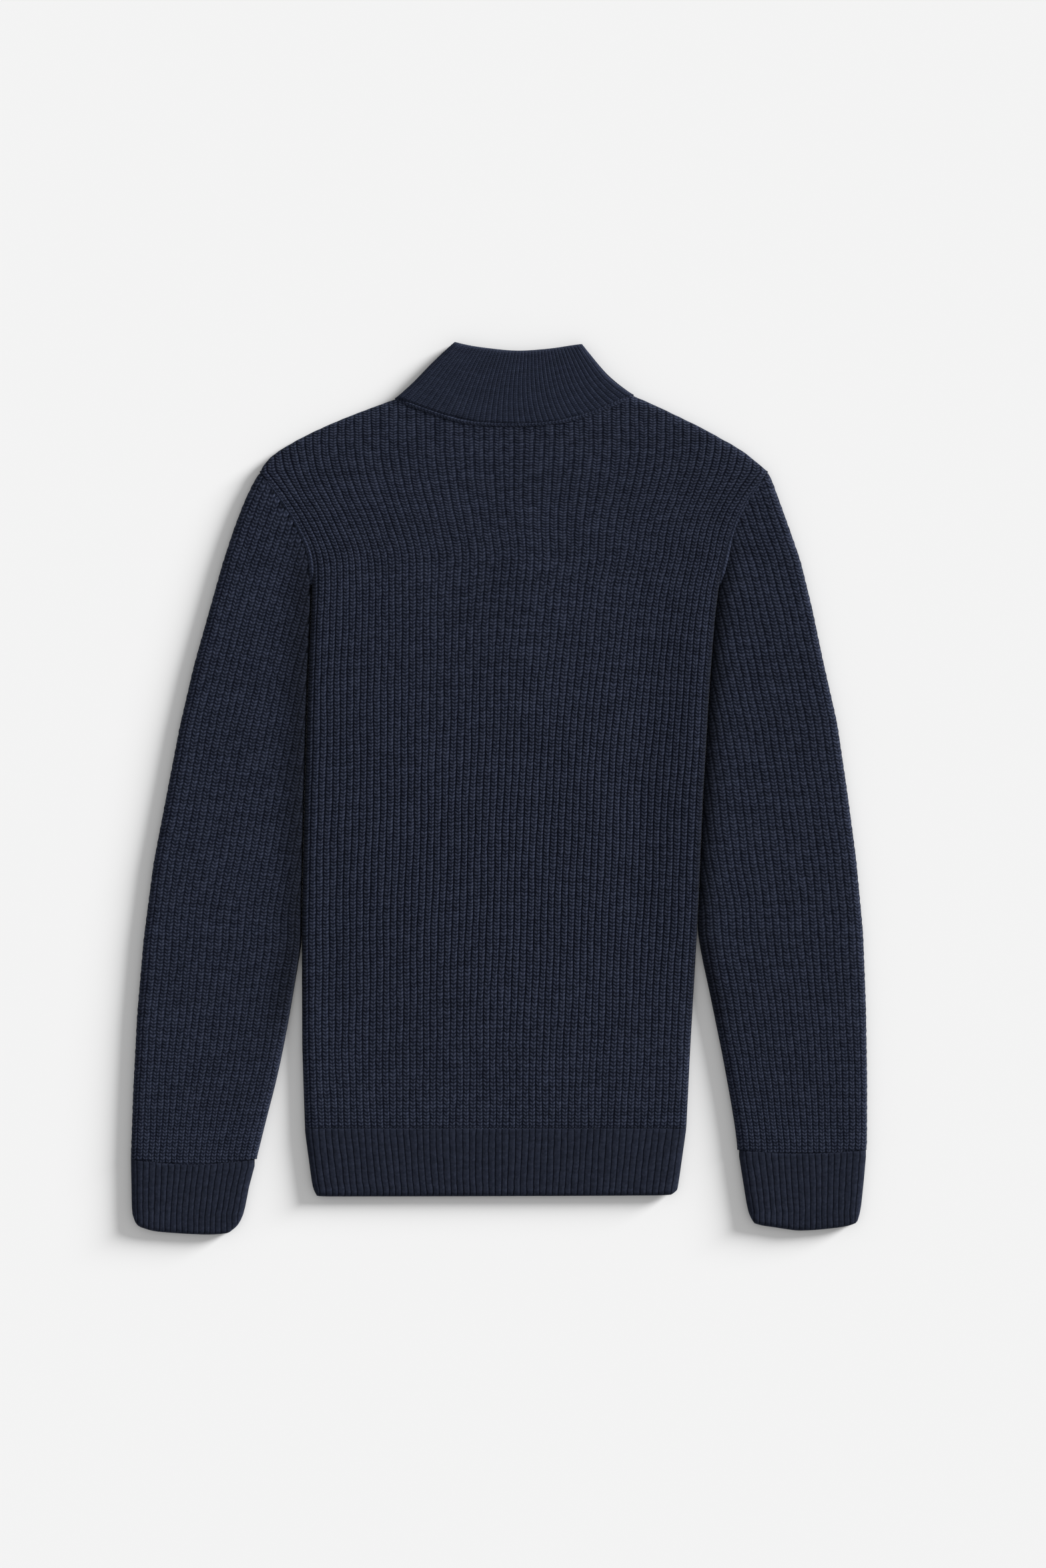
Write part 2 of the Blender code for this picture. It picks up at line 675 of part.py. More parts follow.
def cuff_tube(sleeve, home, cutters, finish):
    """A cuff: a flattened tube in a finer rib, with rounded corners."""
    shape = SleeveShape(sleeve)
    outer = column_curve(sleeve.cuff_sides, "height", "outer")
    inner = column_curve(sleeve.cuff_sides, "height", "inner")
    bottom = column_curve(sleeve.cuff_bottom, "share", "height")
    corner_height = sleeve.cuff_sides[0].height
    columns = 2 * CUFF_RIBS

    def place(column, row):
        across = column / columns
        up = CUFF_ROW_SHARES[row]
        side_height = blend(corner_height, sleeve.cuff_seam - SEAM_GAP, up)
        distance = blend(outer(side_height), inner(side_height), across)
        seam = shape.cuff_seam(across) - SEAM_GAP
        height = blend(bottom(across), seam, up)
        z = ribbed(BAND_TOP, BAND_RIB_DEPTH, column, [
            (BAND_EDGE_DROP, outer(side_height) - distance, SIDE_ROLL),
            (BAND_EDGE_DROP, distance - inner(side_height), SIDE_ROLL),
            (BAND_EDGE_DROP, height - bottom(across), SEAM_ROLL),
            (SEAM_DROP, seam - height, SEAM_ROLL),
        ])
        return sleeve.side * distance, height, z

    name = "cuff_" + sleeve.name
    surface = grid_surface(columns, len(CUFF_ROW_SHARES) - 1, place)
    made = wall(name, surface, 0.0, home, finish, UNDER_CHAMFER)

    def slot_place(column, row):
        low = corner_height - CUFF_SLOT_OVERRUN
        height = blend(low, sleeve.cuff_seam + SLOT_OVERRUN, row / CUFF_SLOT_ROWS)
        if column == 0:
            return sleeve.side * (outer(height) - TUBE_WALL), height, SLOT_TOP
        return sleeve.side * (inner(height) + TUBE_WALL), height, SLOT_TOP

    slot = wall(name + "_slot", grid_surface(1, CUFF_SLOT_ROWS, slot_place),
                SLOT_BOTTOM, cutters)
    cut_away(made, slot)
    return made


# ---------------------------------------------------------------- collar
collar_x = {side: column_curve(COLLAR_SIDES, "rise", SIDE_NAME[side]) for side in (-1, 1)}
collar_height = {side: column_curve(COLLAR_SIDES, "rise", SIDE_NAME[side] + "_height")
                 for side in (-1, 1)}


def collar_back(home, finish):
    """The back of the stand collar: ribs fan out from its top edge to the neck seam."""
    columns = 2 * COLLAR_RIBS

    def place(column, row):
        across = column / columns
        up = COLLAR_ROW_SHARES[row]
        x = blend(collar_x[-1](up), collar_x[1](up), across)
        base_x = blend(NECK_CORNER[-1].x, NECK_CORNER[1].x, across)
        base = back_neck(base_x) + SEAM_GAP
        top = collar_top_edge(across)
        bow = blend(collar_height[-1](up) - blend(collar_height[-1](0), collar_height[-1](1), up),
                    collar_height[1](up) - blend(collar_height[1](0), collar_height[1](1), up),
                    across)
        height = blend(base, top, up) + bow
        edges = [(OPEN_EDGE_DROP, x - collar_x[-1](up), COLLAR_ROLL),
                 (OPEN_EDGE_DROP, collar_x[1](up) - x, COLLAR_ROLL),
                 (OPEN_EDGE_DROP, (1.0 - up) * (top - base), SEAM_ROLL),
                 (SEAM_DROP, up * (top - base), SEAM_ROLL)]
        return x, height, ribbed(COLLAR_TOP, BAND_RIB_DEPTH, column, edges)

    surface = grid_surface(columns, len(COLLAR_ROW_SHARES) - 1, place)
    return wall("collar_back", surface, COLLAR_BACK_UNDER, home, finish)


def collar_front(side, home, finish):
    """Half of the collar's front, from the front's neck seam up; its columns meet
    those of the front panel."""
    panel_columns = front_columns(side)
    count = FACING_COLUMNS + NECK_STEPS

    def across_collar(column, zip_x, side_x):
        if column < FACING_COLUMNS:
            return zip_x + side * panel_columns[column]
        share = (column - FACING_COLUMNS + 1) / NECK_STEPS
        return blend(zip_x + side * panel_columns[FACING_COLUMNS - 1], side_x, share)

    def place(column, row):
        up = COLLAR_ROW_SHARES[row]
        base_x = across_collar(column, centre_x(FRONT_NECK_HEIGHT) + side * CHANNEL_HALF,
                               NECK_CORNER[side].x)
        top_zip = centre_x(FRONT_COLLAR_HEIGHT) + side * CHANNEL_HALF
        top_x = across_collar(column, top_zip, collar_x[side](1.0))
        top_share = (top_x - top_zip) / (collar_x[side](1.0) - top_zip)
        top = blend(FRONT_COLLAR_HEIGHT, collar_height[side](1.0), top_share ** 2)
        height = blend(front_neck(base_x) + SEAM_GAP, top, up)
        zip_x = centre_x(blend(FRONT_NECK_HEIGHT, FRONT_COLLAR_HEIGHT, up)) + side * CHANNEL_HALF
        x = across_collar(column, zip_x, collar_x[side](up))
        return x, height, front_z(column)

    surface = grid_surface(count - 1, len(COLLAR_ROW_SHARES) - 1, place)
    name = "collar_front_" + SIDE_NAME[side]
    return wall(name, surface, 0.0, home, finish, UNDER_CHAMFER)


# ---------------------------------------------------------------- zip
LEAN = atan2(CENTRE_AT_NECK - CENTRE_AT_HEM, NECK_HEIGHT)


def box_mesh(centre, size, bevel=0.0):
    """A bevelled block, in millimetres, as a bmesh."""
    block = bmesh.new()
    place = Matrix.Translation(Vector(centre)) @ Matrix.Diagonal((*size, 1.0))
    bmesh.ops.create_cube(block, size=1.0, matrix=place)
    if bevel:
        bmesh.ops.bevel(block, geom=list(block.edges), offset=bevel, segments=1,
                        affect="EDGES")
    return block


def on_centre_line(name, block, height, home, finish=None):
    """Puts a bmesh that is in millimetres on the middle line of the front opening."""
    bmesh.ops.scale(block, vec=(MM, MM, MM), verts=block.verts)
    made = add_object(name, block, home, finish)
    made.location = to_metres(centre_x(height), height, 0.0)
    made.rotation_euler.z = -LEAN
    return made


def join_to(made, other):
    other.hide_render = True
    other.display_type = "WIRE"
    joined = made.modifiers.new("join", "BOOLEAN")
    joined.operation = "UNION"
    joined.solver = "EXACT"
    joined.object = other


def zip_tape(side, home, finish):
    """A straight tape that lies on the facing of its front and of its collar half."""
    along = (TAPE_START + TAPE_END) / 2.0
    length = (TAPE_END - TAPE_START) / cos(LEAN)
    middle = side * (TAPE_INNER + TAPE_OUTER) / 2.0
    block = box_mesh((middle, 0.0, TAPE_UNDER + TAPE_THICK / 2.0),
                     (TAPE_OUTER - TAPE_INNER, length, TAPE_THICK))
    return on_centre_line("zip_tape_" + SIDE_NAME[side], block, along, home, finish)


def zip_box(home, finish):
    block = box_mesh((0.0, 0.0, BOX_CENTRE_Z), BOX_SIZE, BOX_BEVEL)
    return on_centre_line("zip_box", block, BOX_CENTRE_HEIGHT, home, finish)


def slider_blocks():
    """The slider's pieces, each a (centre, size, bevel): two plates held apart by a
    post, flanges that close on the tapes, and the bail that carries the pull tab."""
    length = 2.0 * PLATE_HALF_LENGTH
    plate = (2.0 * PLATE_HALF_WIDTH, length, PLATE_THICK)
    blocks = [((0.0, 0.0, FRONT_PLATE_Z), plate, PLATE_BEVEL),
              ((0.0, 0.0, REAR_PLATE_Z), plate, PLATE_BEVEL)]
    gap = REAR_PLATE_Z - FRONT_PLATE_Z - PLATE_THICK
    post = (2.0 * POST_HALF_WIDTH, POST_LENGTH, gap + 2.0 * JOIN_OVERLAP)
    post_y = PLATE_HALF_LENGTH - POST_LENGTH / 2.0 - PLATE_BEVEL
    blocks.append(((0.0, post_y, (FRONT_PLATE_Z + REAR_PLATE_Z) / 2.0), post, 0.0))
    flange = (FLANGE_WIDTH, length - FLANGE_SHORTER, FLANGE_HEIGHT + 2.0 * JOIN_OVERLAP)
    flange_x = PLATE_HALF_WIDTH - FLANGE_WIDTH / 2.0 - FLANGE_INSET
    for side in (-1, 1):
        for z in (FRONT_PLATE_Z + PLATE_THICK / 2.0 + FLANGE_HEIGHT / 2.0 - JOIN_OVERLAP,
                  REAR_PLATE_Z - PLATE_THICK / 2.0 - FLANGE_HEIGHT / 2.0 + JOIN_OVERLAP):
            blocks.append(((side * flange_x, 0.0, z), flange, 0.0))
    foot_top = FRONT_PLATE_Z
    foot_bottom = BAIL_CENTRE_Z - BAIL_THICK / 2.0
    foot = (2.0 * BAIL_HALF_WIDTH, BAIL_FOOT_THICK, foot_top - foot_bottom)
    for end in (-1, 1):
        blocks.append(((0.0, end * BAIL_FOOT_Y, (foot_top + foot_bottom) / 2.0), foot, 0.0))
    bail = (2.0 * BAIL_HALF_WIDTH, 2.0 * BAIL_FOOT_Y, BAIL_THICK)
    blocks.append(((0.0, 0.0, BAIL_CENTRE_Z), bail, 0.0))
    return blocks


def zip_slider(home, cutters, finish):
    blocks = slider_blocks()
    centre, size, bevel = blocks[0]
    made = on_centre_line("zip_slider", box_mesh(centre, size, bevel), PIVOT_HEIGHT, home, finish)
    for number, (centre, size, bevel) in enumerate(blocks[1:]):
        piece = on_centre_line("slider_part_%d" % number, box_mesh(centre, size, bevel),
                               PIVOT_HEIGHT, cutters)
        join_to(made, piece)
    return made


def pull_tab(home, cutters, finish):
    """The pull tab: a ring that turns in the slider's bail, and a thicker grip.  Its
    origin is on the axis that it turns about."""
    pivot = bpy.data.objects.new("pull_tab_axis", None)
    home.objects.link(pivot)
    pivot.location = to_metres(centre_x(PIVOT_HEIGHT), PIVOT_HEIGHT, PIVOT_Z)
    pivot.rotation_euler.z = -LEAN
    ring_length = TAB_RING_END + TAB_CROSSBAR / 2.0
    pieces = [("zip_pull_tab", (0.0, TAB_CROSSBAR / 2.0 - ring_length / 2.0, 0.0),
               (2.0 * TAB_HALF_WIDTH, ring_length, TAB_THICK), 0.0),
              ("tab_grip", (0.0, -(TAB_RING_END + TAB_LENGTH) / 2.0 + JOIN_OVERLAP,
                            GRIP_CENTRE_Z - PIVOT_Z),
               (2.0 * TAB_HALF_WIDTH, TAB_LENGTH - TAB_RING_END, GRIP_THICK), GRIP_BEVEL),
              ("tab_hole", (0.0, -(TAB_CROSSBAR + TAB_HOLE_LENGTH) / 2.0, 0.0),
               (2.0 * TAB_HOLE_HALF_WIDTH, TAB_HOLE_LENGTH, 2.0 * TAB_THICK), 0.0)]
    made = []
    for name, centre, size, bevel in pieces:
        block = box_mesh(centre, size, bevel)
        bmesh.ops.scale(block, vec=(MM, MM, MM), verts=block.verts)
        whose, look = (home, finish) if name == "zip_pull_tab" else (cutters, None)
        made.append(add_object(name, block, whose, look))
        made[-1].parent = pivot
    cut_away(made[0], made[2])
    join_to(made[0], made[1])
    return made[0]


# ---------------------------------------------------------------- the whole sweater
def clear_scene():
    for old in list(bpy.data.objects):
        bpy.data.objects.remove(old, do_unlink=True)


def build():
    clear_scene()
    sweater = collection("full_zip_sweater")
    cutters = collection("cutters")
    finishes = {name: material(name) for name in MATERIALS}
    back_panel(sweater, finishes["body_knit"])
    hem_back(sweater, finishes["band_knit"])
    collar_back(sweater, finishes["band_knit"])
    for side in (-1, 1):
        front_panel(side, sweater, finishes["body_knit"])
        hem_front(side, sweater, finishes["band_knit"])
        collar_front(side, sweater, finishes["band_knit"])
        zip_tape(side, sweater, finishes["zip_tape"])
    for sleeve in (LEFT_SLEEVE, RIGHT_SLEEVE):
        sleeve_tube(sleeve, sweater, cutters, finishes["body_knit"])
        cuff_tube(sleeve, sweater, cutters, finishes["band_knit"])
    zip_box(sweater, finishes["zip_metal"])
    zip_slider(sweater, cutters, finishes["zip_metal"])
    pull_tab(sweater, cutters, finishes["zip_metal"])


build()
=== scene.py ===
"""The looks of a full-zip sweater in chunky rib knit, laid flat on its front, back up.

Lengths are in millimetres until a mesh is made.  x runs across the sweater as seen from
above, y from the hem to the collar and z up from the floor.  "Left" and "right" are as
seen from above.  A rib is counted across the knitting and a course is one row of
stitches along it; a place's rib and course numbers decide its relief and its colour.
"""

from collections import namedtuple
from functools import reduce
from math import atan2, cos, pi, radians, sin

import bpy
import numpy as np
from mathutils import Matrix, Vector


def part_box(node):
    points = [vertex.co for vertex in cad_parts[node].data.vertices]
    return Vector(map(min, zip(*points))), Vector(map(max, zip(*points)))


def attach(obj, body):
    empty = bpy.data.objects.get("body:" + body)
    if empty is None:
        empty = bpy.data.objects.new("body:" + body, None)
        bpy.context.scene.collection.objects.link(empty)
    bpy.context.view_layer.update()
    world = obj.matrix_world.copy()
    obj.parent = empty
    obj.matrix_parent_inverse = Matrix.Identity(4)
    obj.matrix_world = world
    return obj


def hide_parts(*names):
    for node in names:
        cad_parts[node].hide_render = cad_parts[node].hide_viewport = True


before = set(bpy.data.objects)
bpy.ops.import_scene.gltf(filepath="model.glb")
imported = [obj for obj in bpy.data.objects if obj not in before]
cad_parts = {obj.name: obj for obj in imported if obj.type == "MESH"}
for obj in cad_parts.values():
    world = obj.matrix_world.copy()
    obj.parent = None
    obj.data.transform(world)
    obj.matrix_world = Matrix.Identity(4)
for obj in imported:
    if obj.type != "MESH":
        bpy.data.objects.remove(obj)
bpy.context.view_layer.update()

MM = 0.001
BODY = "sweater"
SIDES = {-1: "left", 1: "right"}

# ---- the knitting
COURSE = 2.98  # height of one row of stitches
ROW = 1.7  # from one row of the mesh to the next
UNDER_ROW = 3.2  # the same on the fronts
BODY_RIBS = 58
SLEEVE_RIBS = 22
CUFF_RIBS = 20
COLLAR_RIBS = 40
FRONT_RIBS = 29
COLLAR_FRONT_RIBS = 20
# Across one rib: its groove, its left leg of stitches, the dip between, its right leg.
# Heights are shares of the rib's depth, where the knitting is gathered and where it opens.
Profile = namedtuple("Profile", "columns gathered opened")
BODY_PROFILE = Profile((0.0, 0.26, 0.50, 0.77), (-0.62, 0.32, 0.14, 0.38),
                       (-0.15, 0.12, -0.08, 0.14))
BAND_PROFILE = Profile((0.0, 0.15, 0.5, 0.85), (-0.62, 0.30, 0.38, 0.34),
                       (-0.62, 0.30, 0.38, 0.34))

# ---- layers, by their z
FRONT_TOP = 4.2
FACING_TOP = 2.9  # of a front, where the zip's tape lies on it
BACK_UNDER = 4.5
BACK_TOP = 8.4
BAND_TOP = 8.1
COLLAR_UNDER = 5.6
COLLAR_TOP = 9.7
SLOT_BOTTOM = 3.9  # of the empty slot inside a sleeve or a cuff
SLOT_TOP = 4.6
TUBE_WALL = 3.6  # from the slot to the tube's side


# ---- small tools
def blend(start, end, share):
    return start + (end - start) * share


def smooth(low, high, value):
    """0 below low, 1 above high, and an even curve between them."""
    share = np.clip((value - low) / (high - low), 0.0, 1.0)
    return share * share * (3.0 - 2.0 * share)


def fall(distance, reach):
    """How much of its drop an edge has at this distance in from it: 1 at the edge."""
    share = np.clip(distance / reach, 0.0, 1.0)
    return 1.0 - np.sqrt(1.0 - (1.0 - share) ** 2)


def read(items, name, width, kind=float):
    """One property of all of a mesh's items, as an array."""
    values = np.empty(len(items) * width, kind)
    items.foreach_get(name, values)
    return values.reshape(-1, width)


def add_object(name, data):
    made = bpy.data.objects.new(name, data)
    bpy.context.scene.collection.objects.link(made)
    return made


def add_mesh(name, points, faces, finish):
    mesh = bpy.data.meshes.new(name)
    mesh.from_pydata(points, [], faces)
    mesh.materials.append(finish)
    return add_object(name, mesh)


class Outline:
    """How far a node of the frame reaches across and along the sweater."""

    STEP = 1.0
    MARGIN = 0.02
    SOFTNESS = 7  # places on each side that a soft outline is the mean of
    SHARP = 0.3  # radians of turn at a corner that stays

    def __init__(self, node):
        self.softness = 0 if node.startswith("cuff") else self.SOFTNESS
        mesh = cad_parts[node].data
        self.corners = read(mesh.vertices, "co", 3) / MM
        self.edges = self.corners[read(mesh.edges, "vertices", 2, np.int32)]
        self.low = self.corners.min(axis=0)
        self.high = self.corners.max(axis=0)
        self.across = self.reach(1, 0)
        self.along = self.reach(0, 1)

    def reach(self, level, free):
        """The least and greatest coordinate "free" on lines where "level" is constant."""
        start = self.low[level] + self.MARGIN
        end = self.high[level] - self.MARGIN
        places = np.linspace(start, end, max(2, int((end - start) / self.STEP)))
        start, end = self.edges[:, 0], self.edges[:, 1]
        limits = []
        for place in places:
            before = start[:, level] - place
            after = end[:, level] - place
            crosses = (before * after <= 0.0) & (before != after)
            share = before[crosses] / (before[crosses] - after[crosses])
            hits = blend(start[crosses, free], end[crosses, free], share)
            limits.append((hits.min(), hits.max()))
        return places, *(self.softened(values) for values in np.transpose(limits))

    def softened(self, values):
        """Rounds an outline's slight corners, and keeps its ends and sharp corners."""
        here = np.arange(len(values))
        turn = np.abs(np.diff(np.arctan(np.diff(values) / self.STEP)))
        kept = np.concatenate([[0, len(values) - 1], np.flatnonzero(turn > self.SHARP) + 1])
        room = np.abs(here[:, None] - kept[None, :]).min(axis=1)
        room = np.minimum(room, self.softness)
        sums = np.concatenate([[0.0], np.cumsum(values)])
        return (sums[here + room + 1] - sums[here - room]) / (2 * room + 1)

    def furthest(self, direction, beyond=-np.inf, within=np.inf):
        """The corner that lies furthest in a level direction, with its x between limits."""
        able = self.corners[(self.corners[:, 0] > beyond) & (self.corners[:, 0] < within)]
        return able[np.argmax(able[:, :2] @ np.array(direction))][:2]

    def tip(self, side):
        return self.furthest((side, 0.0))

    def left(self, y):
        return np.interp(y, self.across[0], self.across[1])

    def right(self, y):
        return np.interp(y, self.across[0], self.across[2])

    def side(self, side, y):
        return self.left(y) if side < 0 else self.right(y)

    def bottom(self, x):
        return np.interp(x, self.along[0], self.along[1])

    def top(self, x):
        return np.interp(x, self.along[0], self.along[2])

    def size(self):
        return tuple(float(length) * MM for length in (self.high - self.low)[:2])


KINDS = ("front", "hem_front", "collar_front", "sleeve", "cuff")
OUTLINES = {name: Outline(name) for name in ("back", "hem_back", "collar_back")}
OUTLINES.update({name: Outline(name) for name in (
    kind + "_" + side for kind in KINDS for side in SIDES.values())})
HEM_Y = OUTLINES["hem_back"].low[1]
HEM_SEAM = OUTLINES["back"].low[1]


def middle_of(node):
    low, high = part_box(node)
    return (Vector(low) + Vector(high)) / (2.0 * MM)


ZIP_START = middle_of("zip_box")
ZIP_END = middle_of("zip_slider")
CHANNEL_HALF = 5.0  # from the zip's middle to each front's edge


def zip_edge(side, y):
    """Where a front's edge lies beside the zip, which leans a little."""
    up = (y - ZIP_START.y) / (ZIP_END.y - ZIP_START.y)
    return blend(ZIP_START.x, ZIP_END.x, up) + side * CHANNEL_HALF


TIP_CUT = (1.36, 0.8)  # across and along, that the shoulder's tips are rounded off
TIP_REACH = 3.5
TIPS = {side: OUTLINES["back"].tip(side) for side in SIDES}


def round_tips(x, y):
    """Draws places near the shoulder's tips in, so that the corners there are round."""
    for side, (tip_x, tip_y) in TIPS.items():
        near = np.exp(-np.hypot(x - tip_x, y - tip_y) / TIP_REACH)
        x = x - side * TIP_CUT[0] * near
        y = y - TIP_CUT[1] * near
    return x, y


# ---- knitted surfaces
class Knit:
    """A grid of places on a piece: where they lie, their rib and course numbers, how far
    their ribs are stretched open, and how much painted shade they take in the fold beside a
    sleeve."""

    def __init__(self, x, y, rib, course=None, open_rib=0.0, painted_shade=0.0,
                 profile=BODY_PROFILE):
        self.profile = profile
        self.x = x
        self.y = y
        if course is None:
            course = (y - HEM_SEAM) / COURSE
        self.numbers = [np.broadcast_to(grid, x.shape)
                        for grid in (rib, course, open_rib, painted_shade)]

    def relief(self, rib_depth):
        """How far the ribs stand over the knitting's mean height."""
        across = self.numbers[0] % 1.0
        ends = self.profile.columns + (1.0,)
        gathered, opened = (np.interp(across, ends, heights + heights[:1])
                            for heights in self.profile[1:])
        return rib_depth * blend(gathered, opened, self.numbers[2])


def columns_for(ribs, profile=BODY_PROFILE, side=1):
    """Places across a piece, with those of a rib's profile in each rib.  They are listed
    from left to right, and run from 0 to 1 towards this side of the sweater."""
    inside = [(rib + share) / ribs for rib in range(ribs) for share in profile.columns]
    return np.array(inside + [1.0])[::side, None]


def rows_between(low, high, step):
    """Heights of the mesh's rows, on the courses that are counted from the hem's seam."""
    first = int(np.floor((low - HEM_SEAM) / step))
    last = int(np.ceil((high - HEM_SEAM) / step))
    return HEM_SEAM + step * np.arange(first, last + 1)


SNAP = 0.25  # of a row, within which a place goes to its column's end


def knit_grid(rows, low, high, step, bow=0.0):
    """Heights of all the grid's places, by column and row.  bow lifts places off the rows'
    level, and what would lie past a column's ends is drawn back to them."""
    y = rows[None, :] + bow + 0.0 * (low + high)
    y = np.where(y < low + SNAP * step, low, y)
    return np.where(y > high - SNAP * step, high, y)


KEYS_A_MM = 1000.0  # places that are closer than this tells apart become one
KEY_ROOM = 10 ** 7
LEAST_FACE = 0.002  # twice the area of the smallest face that is kept


def rim_of(faces):
    """The open rim of a surface, as one loop of corner numbers that runs around it
    against the clock as seen from above."""
    runs = np.concatenate([np.stack([part, np.roll(part, -1, axis=1)], axis=-1).reshape(-1, 2)
                           for part in faces])
    size = int(runs.max()) + 1
    there = runs[:, 0] * size + runs[:, 1]
    back = runs[:, 1] * size + runs[:, 0]
    rim = runs[~np.isin(there, back)]
    following = dict(rim.tolist())
    loop = [int(rim[0, 0])]
    while following[loop[-1]] != loop[0]:
        loop.append(following[loop[-1]])
    return np.array(loop)


def surface_of(knit):
    """The places that remain of a grid after those that coincide have become one, by
    index, with their x, y and knitting numbers; the faces of four and of three corners
    between them; and the rim."""
    keys = np.round(knit.x * KEYS_A_MM).astype(np.int64) * KEY_ROOM
    keys += np.round(knit.y * KEYS_A_MM).astype(np.int64)
    _, kept, number = np.unique(keys.ravel(), return_index=True, return_inverse=True)
    number = number.reshape(keys.shape)
    quads = np.stack([number[:-1, :-1], number[1:, :-1], number[1:, 1:], number[:-1, 1:]],
                     axis=-1).reshape(-1, 4)
    x, y, *numbers = (grid.ravel()[kept] for grid in (knit.x, knit.y, *knit.numbers))
    a, b, c, d = quads.T
    area = np.abs((x[c] - x[a]) * (y[d] - y[b]) - (y[c] - y[a]) * (x[d] - x[b]))
    quads = quads[area > LEAST_FACE]
    repeats = quads == np.roll(quads, -1, axis=1)
    partly = repeats.sum(axis=1) == 1
    faces = (quads[~repeats.any(axis=1)], quads[partly][~repeats[partly]].reshape(-1, 3))
    return kept, x, y, np.stack(numbers, axis=1), faces, rim_of(faces)


class Solid:
    """Gathers a piece's points, with their knitting numbers, and its faces."""

    def __init__(self):
        self.points = []
        self.stitches = []
        self.faces = []
        self.flat = []
        self.count = 0

    def add_points(self, x, y, z, stitches):
        """Returns the numbers of the new points."""
        self.points.append(np.stack([x, y, z], axis=1))
        self.stitches.append(stitches)
        numbers = self.count + np.arange(len(x))
        self.count += len(x)
        return numbers

    def add_faces(self, faces, flat=False):
        faces = np.asarray(faces).tolist()
        self.faces += faces
        self.flat += [flat] * len(faces)

    def make(self, name, finish, turned_over=False):
        """Makes the object; turned over, heights below the floor become heights above."""
        points = np.concatenate(self.points)
        faces = self.faces
        if turned_over:
            points[:, 2] *= -1.0
            faces = [face[::-1] for face in faces]
        made = add_mesh(name, (points * MM).tolist(), faces, finish)
        mesh = made.data
        mesh.polygons.foreach_set("use_smooth", ~np.array(self.flat))
        stitches = np.concatenate(self.stitches).astype(np.float32)
        carried = mesh.attributes.new("stitch", "FLOAT_VECTOR", "POINT")
        carried.data.foreach_set("vector", stitches[:, :3].ravel())
        # the painted shade in the fold beside a sleeve, which darkens the wool's colour
        painted_shades = mesh.attributes.new("painted_shade", "FLOAT", "POINT")
        painted_shades.data.foreach_set("value", stitches[:, 3])
        mesh.update()
        return made


def strip(lower, upper):
    """Faces between two rings, which run the same way and have as many points."""
    return np.stack([lower, np.roll(lower, -1), np.roll(upper, -1), upper], axis=1)


def inward(x, y):
    """Level directions into a loop that runs against the clock, one for each point."""
    reach = 2
    run = np.stack([np.roll(x, -reach) - np.roll(x, reach),
                    np.roll(y, -reach) - np.roll(y, reach)], axis=1)
    across = np.stack([-run[:, 1], run[:, 0]], axis=1)
    return across / np.maximum(np.linalg.norm(across, axis=1), 1e-6)[:, None]


def declare(piece, node, flat=None):
    """Says on which body a piece rides, and hides the frame's node that it stands for."""
    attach(piece, BODY)
    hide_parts(node)
    flat or OUTLINES[node].size()


RIM_STEPS = ((0.0, 0.3), (0.25, 0.08), (0.5, 0.0))  # how far in, and how high


def laid_panel(node, knit, z, plain_z, finish, facing=None):
    """A closed sheet: its knitted surface, a rounded rim, and a plain other side.  facing
    marks the grid's places where the other side lies lower, for the zip's tape; a sheet
    that has them is made upside down and turned over."""
    kept, x, y, stitches, faces, rim = surface_of(knit)
    sheet = Solid()
    surface = sheet.add_points(x, y, z.ravel()[kept], stitches)
    for part in faces:
        sheet.add_faces(surface[part])
    into = inward(x[rim], y[rim])
    level = np.full(len(rim), plain_z)
    if facing is not None:
        on_facing = np.broadcast_to(facing, knit.x.shape).ravel()[kept][rim]
        level[on_facing] = -FACING_TOP
    upper = rim
    for inset, rise in RIM_STEPS:
        ring = sheet.add_points(x[rim] + into[:, 0] * inset, y[rim] + into[:, 1] * inset,
                                level + rise, stitches[rim])
        sheet.add_faces(strip(ring, upper))
        upper = ring
    if facing is None:
        sheet.add_faces([ring[::-1]], flat=True)
    else:
        start = int(np.flatnonzero(on_facing & ~np.roll(on_facing, 1))[0])
        ring = np.roll(ring, -start)
        count = int(on_facing.sum())
        for part in (ring[:count], ring[count:]):
            sheet.add_faces([part[::-1]], flat=True)
        sheet.add_faces([[ring[0], ring[count - 1], ring[count], ring[-1]]], flat=True)
    made = sheet.make(node + "_knit", finish, facing is not None)
    declare(made, node)


def laid_tube(node, knit, top_z, under_z, finish, slot_x, open_end, wide, slot_end=np.inf):
    """A flattened tube, which is this wide.  The empty slot inside it reaches up to
    slot_end; slot_x is where its side lies, and open_end marks the places on the rim
    where it opens."""
    kept, x, y, stitches, faces, rim = surface_of(knit)
    tube = Solid()
    above = tube.add_points(x, y, top_z.ravel()[kept], stitches)
    below = tube.add_points(x, y, under_z.ravel()[kept], stitches)
    for part in faces:
        tube.add_faces(above[part])
        tube.add_faces(below[part[:, ::-1]])
    slotted = y[rim] < slot_end
    inside = rim[slotted]
    slots = []
    for level in (SLOT_TOP, SLOT_BOTTOM):
        numbers = np.full(len(rim), -1)
        numbers[slotted] = tube.add_points(slot_x.ravel()[kept][inside], y[inside],
                                           np.full(len(inside), level), stitches[inside])
        slots.append(numbers)
    ends = open_end.ravel()[kept][rim] & slotted
    add_tube_walls(tube, above[rim], below[rim], slots[0], slots[1], slotted, ends)
    declare(tube.make(node + "_knit", finish), node,
            (2.0 * wide, OUTLINES[node].size()[1]))


